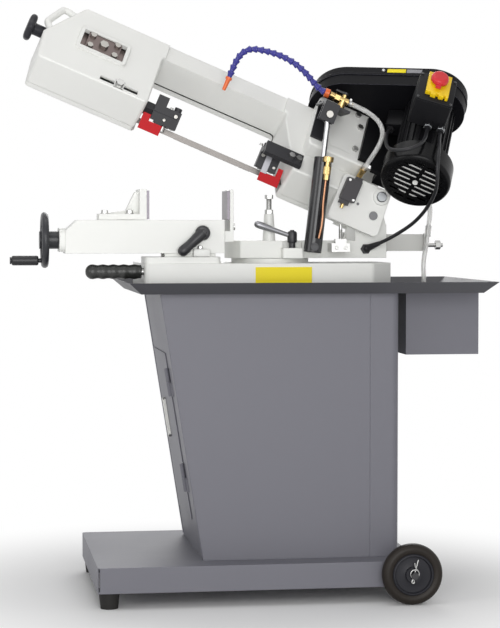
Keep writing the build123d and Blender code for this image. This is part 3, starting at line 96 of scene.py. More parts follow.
class Flow:
    """One value over a surface: a node's output, with the operators that its maths uses."""

    def __init__(self, tree, socket=None):
        self.tree = tree
        self.socket = socket

    def node(self, kind, settings, inputs, output=0):
        made = self.tree.nodes.new("ShaderNode" + kind)
        for key, value in settings.items():
            setattr(made, key, value)
        for key, value in inputs.items():
            if isinstance(value, Flow):
                self.tree.links.new(value.socket, made.inputs[key])
            else:
                made.inputs[key].default_value = value
        return Flow(self.tree, made.outputs[output] if made.outputs else None)

    def maths(self, operation, first, second):
        return self.node("Math", {"operation": operation}, {0: first, 1: second})

    def __add__(self, other):
        return self.maths("ADD", self, other)

    def __sub__(self, other):
        return self.maths("SUBTRACT", self, other)

    def __mul__(self, other):
        return self.maths("MULTIPLY", self, other)

    def __lt__(self, other):
        return self.maths("LESS_THAN", self, other)


def new_tree(owner):
    """The emptied node tree of a world or a material."""
    owner.use_nodes = True
    owner.node_tree.nodes.clear()
    return Flow(owner.node_tree)


def showing(flow):
    """One for the rays that show the studio to the camera, off metal or through glass; else nought."""
    seen = flow.node("LightPath", {}, {}, "Is Camera Ray")
    for ray in ("Is Glossy Ray", "Is Transmission Ray"):
        seen = flow.maths("MAXIMUM", seen, flow.node("LightPath", {}, {}, ray))
    return seen


world = bpy.data.worlds.new("studio_world")
scene.world = world
air = new_tree(world)
lighting = air.node("Background", {}, {"Color": (1, 1, 1, 1), "Strength": 0.36})
backdrop = air.node("Background", {}, {"Color": (1, 1, 1, 1), "Strength": 1.0})
sky = air.node("MixShader", {}, {0: showing(air), 1: lighting, 2: backdrop})
air.node("OutputWorld", {}, {"Surface": sky})


def oblong(left, right, low, high):
    """The corners of a rectangle."""
    return [(left, low), (right, low), (right, high), (left, high)]


floor_half, fade_start, fade_end = 12.0, 0.4, 1.1
floor_mesh = bpy.data.meshes.new("studio_floor")
floor_corners = [(x, y, 0) for x, y in oblong(-floor_half, floor_half, -floor_half, floor_half)]
floor_mesh.from_pydata(floor_corners, [], [(0, 1, 2, 3)])
floor = add_object("studio_floor", floor_mesh)
floor_finish = bpy.data.materials.new("studio_floor")
ground = new_tree(floor_finish)
floor_spot = ground.node("TexCoord", {}, {}, "Object")
away = ground.node("VectorMath", {"operation": "LENGTH"}, {0: floor_spot}, "Value")
fade = ground.node("MapRange", {"interpolation_type": "SMOOTHSTEP"},
                   {"Value": away, "From Min": fade_start, "From Max": fade_end})
paper = ground.node("BsdfDiffuse", {}, {"Color": (0.96, 0.96, 0.96, 1)})
white = ground.node("Emission", {}, {"Color": (1, 1, 1, 1), "Strength": 1.0})
surface = ground.node("MixShader", {}, {0: fade * showing(ground), 1: paper, 2: white})
ground.node("OutputMaterial", {}, {"Surface": surface})
floor_mesh.materials.append(floor_finish)

# Stand: plinth pan, cabinet and coolant tank, folded from 2 mm steel sheet and spot welded.
# They are powder coated mid grey with a fine even texture, so light spreads softly over them.
# Sizes are in millimetres from here on, and the functions turn them into the frame's metres.
mm = 0.001


def point(x, y, z):
    """A place or a step in the frame's metres, from millimetres."""
    return Vector((x, y, z)) * mm


def coating(name, colour, rough, patchy=0.10, grain=700, peel=0.10, edge=1.0, edge_highlight=1.0,
            coat=0.0, shine=0.5, second=None):
    """Paint, plastic or rubber: a colour that varies a little, a fine grain and softly rounded edges.

    edge is the radius of the edges, and they are painted lighter than the rest by the factor that follows it:
    a painted highlight.
    second is (colour, direction, level): the colour of what lies below that level along a direction.
    """
    finish = bpy.data.materials.new(name)
    flow = new_tree(finish)
    spot = flow.node("TexCoord", {}, {}, "Object")
    cloud = flow.node("TexNoise", {}, {"Vector": spot, "Scale": 7.0, "Detail": 4.0})
    speck = flow.node("TexNoise", {}, {"Vector": spot, "Scale": grain, "Detail": 2.0})
    rounded = flow.node("Bevel", {"samples": 4}, {"Radius": edge * mm})
    flat = flow.node("NewGeometry", {}, {}, "Normal")
    facing = flow.node("VectorMath", {"operation": "DOT_PRODUCT"}, {0: rounded, 1: flat}, "Value")
    edge_highlight_mask = flow.node("MapRange", {}, {"Value": facing, "From Min": 0.98, "From Max": 0.85})
    shade = (cloud - 0.5) * (2 * patchy) + (speck - 0.5) * patchy + 1.0
    # a painted highlight: the colour is made lighter on the rounded edges than on the rest
    shade = shade * (edge_highlight_mask * (edge_highlight - 1.0) + 1.0)
    if second is not None:
        below_colour, direction, level = second
        height = flow.node("VectorMath", {"operation": "DOT_PRODUCT"}, {0: spot, 1: direction}, "Value")
        colour = flow.node("Mix", {"data_type": "RGBA"},
                           {0: height < level, 6: (*colour, 1), 7: (*below_colour, 1)}, 2)
    tint = flow.node("VectorMath", {"operation": "SCALE"}, {0: colour, "Scale": shade})
    gloss = (cloud - 0.5) * 0.12 + (speck - 0.5) * 0.10 + rough
    skin = flow.node("Bump", {},
                     {"Strength": peel, "Distance": 0.4 * mm, "Height": speck, "Normal": rounded})
    shader = flow.node("BsdfPrincipled", {},
                       {"Base Color": tint, "Roughness": gloss, "Specular IOR Level": shine,
                        "Coat Weight": coat, "Coat Roughness": 0.12, "Normal": skin})
    flow.node("OutputMaterial", {}, {"Surface": shader})
    return finish


def dress(finish, *nodes):
    """Gives CAD nodes their finish."""
    for node in nodes:
        for place in frame["nodes"][node].material_slots:
            place.material = finish


def place_piece(name, mesh, body, finish, slot, *nodes, smooth=40.0):
    """Puts a mesh on its body, in place of its CAD node where it has one."""
    mesh.materials.append(finish)
    mesh.shade_smooth()
    mesh.set_sharp_from_angle(angle=math.radians(smooth))
    piece = add_object(name, mesh)
    if nodes:
        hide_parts(*nodes)
    if body:
        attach(piece, body)
    return piece


def slab(outline, place, low, high, soft):
    """A flat piece: an outline in a place's own x and y between two heights, with rounded edges."""
    shape = bmesh.new()
    bottom = shape.faces.new([shape.verts.new(place @ point(x, y, low)) for x, y in outline])
    grown = bmesh.ops.extrude_face_region(shape, geom=[bottom])["geom"]
    raised = [part for part in grown if isinstance(part, bmesh.types.BMVert)]
    bmesh.ops.translate(shape, vec=place.to_3x3() @ point(0, 0, high - low), verts=raised)
    bmesh.ops.recalc_face_normals(shape, faces=shape.faces)
    bmesh.ops.bevel(shape, geom=shape.edges[:], offset=soft * mm, segments=3, profile=0.5, affect="EDGES",
                    clamp_overlap=True)
    mesh = bpy.data.meshes.new("slab")
    shape.to_mesh(mesh)
    return mesh


def frame_of(x_way, y_way, origin):
    """The matrix of a place that has its own x and y directions."""
    turn = Matrix((x_way, y_way, x_way.cross(y_way))).transposed()
    return Matrix.Translation(origin) @ turn.to_4x4()


axis_of = {joint["name"]: Vector(joint["axis"]) for joint in frame["joints"]}
place_of = {joint["name"]: Vector(joint["pos_m"]) for joint in frame["joints"] if "pos_m" in joint}
# the grey coat's edges and bends get a painted highlight, lighter than its faces
grey_coat = coating("grey_powder_coat", (0.160, 0.159, 0.184), 0.50, patchy=0.03, grain=1300,
                    edge=2.2, edge_highlight=1.40, shine=0.4)
dress(grey_coat, "plinth", "cabinet_shell", "cabinet_door", "coolant_tank")
# a narrow flange is folded over each edge of the cabinet's slanted end
nearwards = Vector((0, -1, 0))
slant_up = axis_of["door_swing"]
slant_length = 600
shell_low, shell_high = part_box("cabinet_shell")
for side, edge_y, left, right in (("near", shell_low.y, -15, -1), ("far", shell_high.y, 1, 10)):
    slant_place = frame_of(nearwards, slant_up, Vector((shell_low.x, edge_y, shell_high.z)))
    flange = slab(oblong(left, right, -slant_length, -3), slant_place, -1, 1.6, 0.6)
    place_piece(f"cabinet_flange_{side}", flange, "stand", grey_coat, "grey_sheet")

# Chip tray: a shallow pan of the same sheet with outward sloping sides and welded corners.
# It is coated a darker grey than the stand and sits on the cabinet's top.
# the tray's edges get a painted highlight
tray_coat = coating("dark_powder_coat", (0.060, 0.060, 0.068), 0.50, patchy=0.04, grain=1300, peel=0.12,
                    edge=1.2, edge_highlight=1.25)
dress(tray_coat, "chip_tray")


# Feet and wheels: rubber feet on plated studs, rubber tyres pressed on dark plastic hubs.
# The wheels run on a plain steel axle and are kept on by a washer and a bent wire clip each.
def solids_of(node, body, *finishes):
    """The node's separate solids as pieces of their own, largest first, each with its finish.

    A solid whose finish is None is left out, because another piece stands for it.
    """
    whole = bmesh.new()
    whole.from_mesh(frame["nodes"][node].data)
    bmesh.ops.remove_doubles(whole, verts=whole.verts, dist=1e-7)
    seen = set()
    pieces = []
    for first in whole.faces:
        if first in seen:
            continue
        seen.add(first)
        island = [first]
        for face in island:
            near = dict.fromkeys(f for edge in face.edges for f in edge.link_faces if f not in seen)
            seen.update(near)
            island += near
        numbers = {}
        for face in island:
            for corner in face.verts:
                numbers.setdefault(corner, len(numbers))
        mesh = bpy.data.meshes.new(node)
        faces = [[numbers[v] for v in face.verts] for face in island]
        mesh.from_pydata([tuple(v.co) for v in numbers], [], faces)
        size = sum(face.calc_area() for face in island)
        middle = sum((v.co for v in numbers), Vector()) / len(numbers)
        pieces.append((round(-size, 9), tuple(round(c, 6) for c in middle), mesh))
    pieces.sort(key=lambda item: item[:2])
    for number, (_, _, mesh) in enumerate(pieces):
        chosen = finishes[min(number, len(finishes) - 1)]
        if chosen is not None:
            place_piece(f"{node}_{number}", mesh, body, *chosen, node, smooth=32.0)


def metal(name, colour, rough, grain=(300, 300, 300), lines=0.10, patchy=0.03):
    """Bare or plated metal: tool marks stretched along one axis and a faint patchy tarnish."""
    finish = bpy.data.materials.new(name)
    flow = new_tree(finish)
    spot = flow.node("TexCoord", {}, {}, "Object")
    pulled = flow.node("VectorMath", {"operation": "MULTIPLY"}, {0: spot, 1: grain})
    marks = flow.node("TexNoise", {}, {"Vector": pulled, "Scale": 1.0, "Detail": 3.0})
    cloud = flow.node("TexNoise", {}, {"Vector": spot, "Scale": 25.0, "Detail": 4.0})
    rounded = flow.node("Bevel", {"samples": 4}, {"Radius": 0.6 * mm})
    shade = (cloud - 0.5) * (2 * patchy) + (marks - 0.5) * patchy + 1.0
    tint = flow.node("VectorMath", {"operation": "SCALE"}, {0: colour, "Scale": shade})
    gloss = (marks - 0.5) * lines + (cloud - 0.5) * 0.10 + rough
    skin = flow.node("Bump", {}, {"Strength": 0.02, "Distance": 0.1 * mm, "Height": marks, "Normal": rounded})
    shader = flow.node("BsdfPrincipled", {},
                       {"Base Color": tint, "Roughness": gloss, "Metallic": 1.0, "Normal": skin})
    flow.node("OutputMaterial", {}, {"Surface": shader})
    return finish


def smooth_line(name, route, turns=10):
    """The smooth line of a route: points read off a spline that has the route as its control points."""
    curve = bpy.data.curves.new(name, "CURVE")
    curve.dimensions = "3D"
    curve.resolution_u = turns
    spline = curve.splines.new("NURBS")
    spline.points.add(len(route) - 1)
    for knot, place in zip(spline.points, route):
        knot.co = (*place, 1.0)
    spline.order_u = 3
    spline.use_endpoint_u = True
    carrier = bpy.data.objects.new(name, curve)
    mesh = bpy.data.meshes.new_from_object(carrier)
    points = [v.co.copy() for v in mesh.vertices]
    bpy.data.objects.remove(carrier)
    return points


def swept(points, radius, sides=10, bore=0.0):
    """A round tube mesh along close points, hollow where it has a bore; all of it in metres."""
    radii = [radius, bore] if bore else [radius]
    heading = (points[1] - points[0]).normalized()
    side = heading.orthogonal().normalized()
    corners = []
    for number, middle in enumerate(points):
        before = points[max(number - 1, 0)]
        after = points[min(number + 1, len(points) - 1)]
        new_heading = (after - before).normalized()
        side = heading.rotation_difference(new_heading) @ side
        heading = new_heading
        up = heading.cross(side)
        for ring in radii:
            for step in range(sides):
                angle = math.tau * step / sides
                corners.append(middle + side * (ring * math.cos(angle)) + up * (ring * math.sin(angle)))
    stride = sides * len(radii)
    faces = []
    for number in range(len(points) - 1):
        for layer in range(len(radii)):
            base = number * stride + layer * sides
            for step in range(sides):
                after = (step + 1) % sides
                face = (base + step, base + after, base + stride + after, base + stride + step)
                faces.append(face if layer == 0 else tuple(reversed(face)))
    last = (len(points) - 1) * stride
    if bore:
        for step in range(sides):
            after = (step + 1) % sides
            faces.append((after, step, sides + step, sides + after))
            faces.append((last + step, last + after, last + sides + after, last + sides + step))
    else:
        faces.append(tuple(reversed(range(sides))))
        faces.append(tuple(range(last, last + sides)))
    mesh = bpy.data.meshes.new("tube")
    mesh.from_pydata([tuple(c) for c in corners], [], faces)
    return mesh


def spin(profile, start, axis, sides=40, ribs=0.0, closed=False):
    """Corners and faces of (along, radius) points spun about an axis, with ribs where it is knurled.

    A closed profile is a ring that meets itself; any other gets a flat end at its first and last point.
    """
    turn = Vector(axis).normalized().to_track_quat("Z", "Y").to_matrix()
    corners = []
    faces = []
    for along, radius in profile:
        for side in range(sides):
            angle = math.tau * side / sides
            out = radius + ribs * (side % 2)
            around = point(out * math.cos(angle), out * math.sin(angle), along)
            corners.append(Vector(start) + turn @ around)
    rings = len(profile)
    for ring in range(rings if closed else rings - 1):
        low = ring * sides
        high = (ring + 1) % rings * sides
        for side in range(sides):
            after = (side + 1) % sides
            faces.append((low + side, low + after, high + after, high + side))
    if not closed:
        faces.append(tuple(reversed(range(sides))))
        faces.append(tuple(range((rings - 1) * sides, rings * sides)))
    return corners, faces


def place_shapes(name, shapes, body, finish, slot, *nodes, smooth=30.0):
    """Puts several (corners, faces) shapes on a body as one piece."""
    corners = []
    faces = []
    for some_corners, some_faces in shapes:
        faces += [tuple(number + len(corners) for number in face) for face in some_faces]
        corners += [tuple(corner) for corner in some_corners]
    mesh = bpy.data.meshes.new(name)
    mesh.from_pydata(corners, [], faces)
    place_piece(name, mesh, body, finish, slot, *nodes, smooth=smooth)


# the feet's rubber edges get a painted highlight
foot_rubber = coating("foot_rubber", (0.016, 0.015, 0.014), 0.62, patchy=0.20, grain=500, peel=0.25,
                      edge=4.0, edge_highlight=1.3, shine=0.3)
tyre_rubber = coating("tyre_rubber", (0.020, 0.016, 0.013), 0.44, patchy=0.20, grain=600, peel=0.12,
                      edge=2.0, shine=0.2)
hub_plastic = coating("hub_plastic", (0.022, 0.022, 0.027), 0.42, peel=0.12, shine=0.22)
zinc = metal("zinc_plate", (0.45, 0.45, 0.44), 0.30)
axle_steel = metal("axle_steel", (0.06, 0.06, 0.062), 0.42, (900, 40, 900))
solids_of("feet", "stand", (foot_rubber, "rubber"), (foot_rubber, "rubber"), (zinc, "steel"))
tyre_section = [(4, 46.5), (2, 50.5), (0.6, 55), (1.2, 59.5), (3.6, 64), (8, 67), (13, 68.2), (17.5, 68.5)]
hub_section = [(12, 8.3), (0, 8.3), (0, 16.5), (1, 17.5), (7.5, 18), (8.5, 20), (7.5, 39.5), (6, 40.5),
               (1.2, 41.5), (0.4, 42.5), (0.8, 44.5), (4, 46.8), (17, 47)]
for wheel in ("wheel_near", "wheel_far"):
    wheel_low, wheel_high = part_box(wheel)
    width = (wheel_high.y - wheel_low.y) / mm
    inner_end = ((wheel_low.x + wheel_high.x) / 2, wheel_low.y, (wheel_low.z + wheel_high.z) / 2)
    for part, section, finish in (("tyre", tyre_section, tyre_rubber), ("hub", hub_section, hub_plastic)):
        ring = section + [(width - along, radius) for along, radius in reversed(section)]
        shape = spin(ring, inner_end, (0, 1, 0), 72, closed=True)
        place_shapes(f"{wheel}_{part}", [shape], wheel, finish, "rubber", wheel)
solids_of("wheel_axle", "stand", (axle_steel, "steel"), (hub_plastic, "rubber"), (hub_plastic, "rubber"),
          None)
axle_low, axle_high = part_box("wheel_axle")
axle_middle = (axle_low + axle_high) / 2
# the clip's wire seen from the end: straight leg, curl under it, a turn and a half round the axle, bent leg
straight_leg = [(8.5, 31), (4, 14), (0, 0), (-4.5, -14)]
curl = [(-7, -18), (-4, -21.5), (0, -19), (-2, -14)]
bent_leg = [(-0.5, 16), (-0.6, 25)]
ring_radius, ring_steps = 9.8, 24
clip_shape = straight_leg + curl
for step in range(ring_steps + 1):
    angle = math.radians(-120 - 570 * step / ring_steps)
    clip_shape.append((ring_radius * math.cos(angle), ring_radius * math.sin(angle)))
clip_shape += bent_leg
clip_radius, clip_inset, clip_rise = 1.5 * mm, 8.5 * mm, 4.5 * mm
for side, end, outwards in (("near", axle_low.y + clip_inset, -1), ("far", axle_high.y - clip_inset, 1)):
    rise = outwards * clip_rise / (len(clip_shape) - 1)
    route = [(axle_middle.x + x * mm, end + rise * number, axle_middle.z + z * mm)
             for number, (x, z) in enumerate(clip_shape)]
    clip = swept(smooth_line("clip", route, 5), clip_radius)
    place_piece(f"axle_clip_{side}", clip, "stand", zinc, "steel", "wheel_axle", smooth=60.0)

# Door latch: a pressed swing handle in a flat escutcheon, plated and dulled by the coat's overspray.
# The door hangs on two lift-off hinges welded to the slanted end of the cabinet.
latch_metal = metal("latch_metal", (0.50, 0.50, 0.48), 0.42, patchy=0.08)
dress(latch_metal, "door_latch")

# Base casting: a hollow grey-iron box with a pad for the vise and a round seat for the swivel arm.
# It is painted off-white over a slightly sandy cast skin, and a bare yellow plate is fixed on its side.
# a faint painted highlight lightens the white paint's edges
cast_white = coating("cast_white_paint", (0.790, 0.795, 0.765), 0.42, patchy=0.025, grain=420, peel=0.12,
                     edge=2.2, edge_highlight=1.03, coat=0.12)
plate_yellow = coating("plate_yellow", (0.90, 0.74, 0.01), 0.40, patchy=0.04, grain=900, peel=0.05,
                       edge=0.4, shine=0.25)
solids_of("base_casting", "stand", (cast_white, "white_iron"), (plate_yellow, "yellow"))

# Carrying bar: a steel rod screwed into the base's end with a soft rubber grip pushed over it.
# The grip has a domed end and five shallow finger swellings.
grip_rubber = coating("grip_rubber", (0.020, 0.021, 0.019), 0.36, patchy=0.15, peel=0.15)
grip_low, grip_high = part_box("carry_bar")
grip_start = (grip_low + grip_high) / 2
grip_start.x = grip_low.x
along_x = Vector((1, 0, 0))
grip_length, grip_radius, grip_steps = 126, 15.8, 40
swell_height, swell_start, swell_pitch = 0.9, 16, 23.5
grip_profile = [(0, 1.5), (0.6, 6), (3, 10.5), (7, 14)]
for step in range(grip_steps + 1):
    along = 10 + (grip_length - 14) * step / grip_steps
    swell = math.cos(math.tau * (along - swell_start) / swell_pitch)
    grip_profile.append((along, grip_radius + swell_height * swell))
grip_profile += [(grip_length - 2.5, 15.5), (grip_length, 13.5)]
place_shapes("carry_grip", [spin(grip_profile, grip_start, along_x)], "stand", grip_rubber, "rubber",
             "carry_bar", smooth=40.0)
carry_rod = spin([(0, 8), (12, 8), (16, 7.6)], grip_start + along_x * ((grip_length - 2) * mm), along_x)
place_shapes("carry_rod", [carry_rod], "stand", zinc, "steel", "carry_bar", smooth=40.0)

# Vise: a channel casting with the jaws on top, painted like the base, and machined steel jaw faces.
# Plated hexagon bolts hold the moving jaw, and a clamp with a small bolt stands at the bed's foot.
jaw_steel = metal("jaw_steel", (0.13, 0.12, 0.135), 0.34, (60, 60, 1500))
dress(cast_white, "vise_bed")
solids_of("fixed_jaw", "stand", (cast_white, "white_iron"), (jaw_steel, "steel"), (zinc, "steel"))
solids_of("moving_jaw", "vise_jaw", (cast_white, "white_iron"), (jaw_steel, "steel"), None)
upwards = Vector((0, 0, 1))


def hex_bolt(place, axis, across, head, washer=1.6):
    """A hexagon head on its washer, with the head's top corners turned off."""
    corner = across / math.sqrt(3)
    plate = spin([(0, 1.25 * corner), (washer, 1.25 * corner)], place, axis, 24)
    crown = [(washer, corner), (0.85 * head, corner), (head, 0.85 * corner), (head, 0.4 * corner)]
    return [plate, spin(crown, place, axis, 6)]


jaw_foot, jaw_bolt_y = 870, -125
jaw_bolts = []
for jaw_bolt_x in (-334, -278):
    jaw_bolts += hex_bolt(point(jaw_bolt_x, jaw_bolt_y, jaw_foot), upwards, 13, 8.5)
place_shapes("jaw_bolts", jaw_bolts, "vise_jaw", zinc, "steel", "moving_jaw", smooth=25.0)
clamp_foot, clamp_height = 773.5, 17.5
clamp = slab(oblong(-137, -99, -158, -138), Matrix.Translation(point(0, 0, clamp_foot)), 0, clamp_height, 2)
place_piece("bed_clamp", clamp, "stand", cast_white, "white_iron")
clamp_bolt = hex_bolt(point(-121, -149.5, clamp_foot + clamp_height), upwards, 10, 7)
place_shapes("bed_clamp_bolt", clamp_bolt, "stand", zinc, "steel", smooth=25.0)

# Handwheel, crank grip and levers: black enamelled cast wheel on the vise screw, with a plastic crank
# grip that spins on its spindle, a cast quick lever on the bed's near side and the swivel's clamp lever.
wheel_enamel = coating("wheel_enamel", (0.018, 0.019, 0.023), 0.36, grain=500, edge=1.5, shine=0.45)
lever_enamel = coating("lever_enamel", (0.020, 0.020, 0.023), 0.36, grain=600, peel=0.12, edge=1.5,
                       shine=0.45)
lever_grey = metal("lever_grey", (0.27, 0.27, 0.285), 0.36, patchy=0.06)
screw_steel = metal("screw_steel", (0.46, 0.45, 0.44), 0.34, (1400, 200, 200))
solids_of("vise_handwheel", "vise_screw", (wheel_enamel, "black_plastic"), (screw_steel, "steel"))
grip_plastic = coating("grip_plastic", (0.016, 0.016, 0.018), 0.40, grain=800, peel=0.15, shine=0.4)
dress(grip_plastic, "crank_grip")


def socket_screw(place, axis, radius):
    """A socket head screw: a low round head with a chamfered rim and a deep hole for the key."""
    head = [(0, 1), (0.7, 1), (0.85, 0.9), (0.85, 0.52), (0.2, 0.48)]
    return spin([(along * radius, out * radius) for along, out in head], place, axis, 18)


boss_middle = point(-115.8, -146.2, 827)
lever_start = boss_middle + point(0, -9, 0)
lever_end = point(-161.8, -163, 786)
boss_shape = [(0, 13), (1, 16.5), (10, 17), (13.5, 15.5), (15, 11.5), (15, 8), (11.5, 7.8), (11.5, 0.5)]
handle_shape = [(0, 13.2), (12, 13.2), (28, 11.6), (44, 11), (54, 12), (62, 12.2), (68, 10.4), (71.5, 6.4),
                (72.5, 1)]
quick_shapes = [spin(boss_shape, boss_middle, nearwards),
                spin(handle_shape, lever_start, lever_end - lever_start)]
place_shapes("quick_lever_casting", quick_shapes, "quick_lever", lever_enamel, "black_plastic", "quick_lever",
             smooth=35.0)
lever_screw = socket_screw(boss_middle + point(0, -11.2, 0), nearwards, 5.6)
place_shapes("quick_lever_screw", [lever_screw], "quick_lever", axle_steel, "steel")
hub_foot = point(100.8, -78, 792.5)
hub_shape = [(0, 7.5), (12, 7.5), (12.5, 10.5), (15, 11.2), (33, 11.2), (36.5, 10), (38.5, 7.2), (38.5, 5),
             (41, 4.8), (41, 0.5)]
place_shapes("swivel_lever_hub", [spin(hub_shape, hub_foot, upwards)], "swivel_lever", lever_enamel,
             "black_plastic", "swivel_lever")
bar_tilt = math.radians(19)
bar_way = (-math.cos(bar_tilt), 0, math.sin(bar_tilt))
bar_shape = [(0, 5), (10, 5.2), (45, 6), (68, 7.8), (82, 8.6), (90, 7.6), (94, 4.5), (95, 0.8)]
lever_bar = spin(bar_shape, hub_foot + point(2, 0, 25.5), bar_way)
place_shapes("swivel_lever_bar", [lever_bar], "swivel_lever", lever_grey, "steel", "swivel_lever",
             smooth=35.0)

# Swivel arm: an iron casting that turns on the base and carries the bow's pivot, painted off-white.
# On it sit the stop bolt, the trip block for the limit switch and the sheet bracket of the spring.
dress(cast_white, "swivel_arm")
dress(zinc, "stop_bolts", "spring_rod")
bracket_zinc = metal("bracket_zinc", (0.40, 0.40, 0.385), 0.55, (20, 20, 20), lines=0.06)
dress(bracket_zinc, "spring_bracket")
cylinder_foot = place_of["cylinder_tilt"]
eye_end = Vector((cylinder_foot.x, -133.5 * mm, cylinder_foot.z))
eye_cap = spin([(0, 9.8), (1.8, 9.8), (2.6, 9), (2.6, 6.2), (1.6, 6), (1.6, 0.5)], eye_end, nearwards, 28)
place_shapes("cylinder_eye_cap", [eye_cap], "head", axle_steel, "steel")


def thread(start, axis, length, radius, pitch):
    """The rolled thread of a bolt: a round bar whose outline rises and falls by a third of the pitch."""
    turns = int(length / pitch)
    outline = []
    for turn in range(turns):
        outline += [(turn * pitch, radius), (turn * pitch + pitch / 2, radius + pitch / 3)]
    return spin(outline + [(turns * pitch, radius)], start, axis, 20)


stop_thread = thread(point(50.2, -56, 880.2), upwards, 24.6, 6, 1.75)
trip_x, trip_face = 210.2, -105
trip_thread = thread(point(trip_x, -97, 813.5), upwards, 22, 4, 1.25)
place_shapes("bolt_threads", [stop_thread, trip_thread], "head", zinc, "steel", smooth=20.0)
trip_screws = [socket_screw(point(trip_x + aside, trip_face, 793), nearwards, 4.5) for aside in (-10.5, 10.5)]
place_shapes("trip_screws", trip_screws, "head", zinc, "steel")

# Balance spring: wound from round spring wire, held between the rod's collar and the bracket's wall.
# The real spring shortens and lengthens as the bow is lowered and raised; here it is drawn at one length.
spring_steel = metal("spring_steel", (0.22, 0.21, 0.20), 0.32)
spring_low, spring_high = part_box("balance_spring")
wire_radius, coil_radius = 1.6 * mm, 13 * mm
spring_turns, turn_steps = 11, 24
spring_axis = Vector((0.0, (spring_low.y + spring_high.y) / 2, (spring_low.z + spring_high.z) / 2))
coil_start = spring_axis + along_x * (spring_low.x + wire_radius)
coil_end = spring_axis + along_x * (spring_high.x - wire_radius)
coil_line = []
for step in range(spring_turns * turn_steps + 1):
    angle = math.tau * step / turn_steps
    around = Vector((0, math.sin(angle), -math.cos(angle))) * coil_radius
    coil_line.append(coil_start.lerp(coil_end, step / (spring_turns * turn_steps)) + around)
spring = place_piece("balance_spring_wire", swept(coil_line, wire_radius), None, spring_steel, "steel",
                     "balance_spring", smooth=60.0)
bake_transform(spring)

# Down-feed cylinder: a black enamelled barrel pivoted on the swivel arm, a chromed rod up to the bow,
# and a brass flow valve in a groove of the barrel with a bent copper tube back to the barrel's foot.
barrel_enamel = coating("barrel_enamel", (0.014, 0.014, 0.016), 0.22, grain=300, peel=0.05, edge=1.2)
chrome = metal("hard_chrome", (0.42, 0.42, 0.43), 0.16, (20, 20, 20), lines=0.04, patchy=0.02)
brass = metal("turned_brass", (0.56, 0.40, 0.17), 0.26, (40, 40, 40))
copper = metal("bent_copper", (0.42, 0.215, 0.125), 0.34)
dress(barrel_enamel, "cylinder_barrel")
dress(chrome, "piston_rod")
solids_of("flow_valve", "cylinder", (brass, "brass"), (copper, "brass"))
rod_way = axis_of["rod_slide"]
across_way = Vector((0, 1, 0)).cross(rod_way)
valve_middle = cylinder_foot + (across_way * 8 + nearwards * 20) * mm
rib_height = 0.3
knob_ribs = [(0, 8), (0.8, 8.6), (17.2, 8.6), (18, 8)]
cap_ribs = [(0, 11.6), (0.6, 12.1), (8.4, 12.1), (9, 11.6)]
knurls = [spin(profile, valve_middle + rod_way * (along * mm), rod_way, sides, rib_height)
          for profile, along, sides in ((knob_ribs, 166.5, 64), (cap_ribs, 197.2, 48))]
place_shapes("valve_knurls", knurls, "cylinder", brass, "brass", smooth=15.0)

# Bow: a white painted aluminium casting with a wheel housing at each end, closed by a hinged cover.
# The band runs over the two wheels inside it and out between the guides.
# a faint painted highlight lightens the bow's edges
bow_white = coating("bow_white_paint", (0.800, 0.802, 0.775), 0.40, patchy=0.02, grain=520, peel=0.02,
                    edge=3.0, edge_highlight=1.02, coat=0.12)
dress(bow_white, "bow_casting", "blade_cover")
wheel_iron = metal("wheel_iron", (0.35, 0.34, 0.33), 0.42)
dress(wheel_iron, "drive_wheel", "idler_wheel")
pin_steel = metal("pin_steel", (0.13, 0.13, 0.135), 0.45)
stay_steel = metal("stay_steel", (0.28, 0.29, 0.30), 0.38)
solids_of("pivot_pin", "bow", (pin_steel, "steel"), (stay_steel, "steel"))
bow_pivot = place_of["bow_lift"]
along_bow = -axis_of["tension_travel"]
up_bow = axis_of["plunger_press"]
lean_up = axis_of["motor_spin"]
lean_out = axis_of["drive_spin"]
drive_place = place_of["drive_spin"]
drive_along = 156.5


def on_bow(along, across, up):
    """A point of the bow: along it from its pivot, across it and up from it."""
    return bow_pivot + (along_bow * along + Vector((0, across, 0)) + up_bow * up) * mm


def on_lean(along, up, out):
    """A point in the leaning plane of the band wheels: along the bow, up the plane and out of it."""
    return drive_place + (along_bow * (along - drive_along) + lean_up * up + lean_out * out) * mm


# a black cord along the seam between casting and cover is a painted shadow of the gap: a dark line along the
# throat
opening_left, opening_right, arm_under, throat_round = 580, 263, 56, 9
seam_shadow_end, seam_shadow_level = 34, -4.5
seam_shadow_route = [(opening_left, arm_under), (opening_right + throat_round, arm_under),
              (opening_right + 0.3 * throat_round, arm_under - 0.3 * throat_round),
              (opening_right, arm_under - throat_round), (opening_right, seam_shadow_end)]
seam_shadow_black = coating("seam_shadow_black", (0.012, 0.012, 0.012), 0.6, peel=0.2, shine=0.2)
seam_shadow_cord = swept([on_lean(along, up, seam_shadow_level) for along, up in seam_shadow_route], 1.6 * mm)
place_piece("cover_seam_shadow", seam_shadow_cord, "bow", seam_shadow_black, "rubber", smooth=60.0)
# a dark steel plug in the ear's tapped hole is painted shade: it stands for the dark inside the hole
tapped_hole = spin([(0, 3.4), (0.6, 3), (0.6, 2.4), (0.1, 2.2)], point(253.3, -85, 893.4), nearwards, 20)
place_shapes("ear_tapped_hole", [tapped_hole], "bow", pin_steel, "steel")

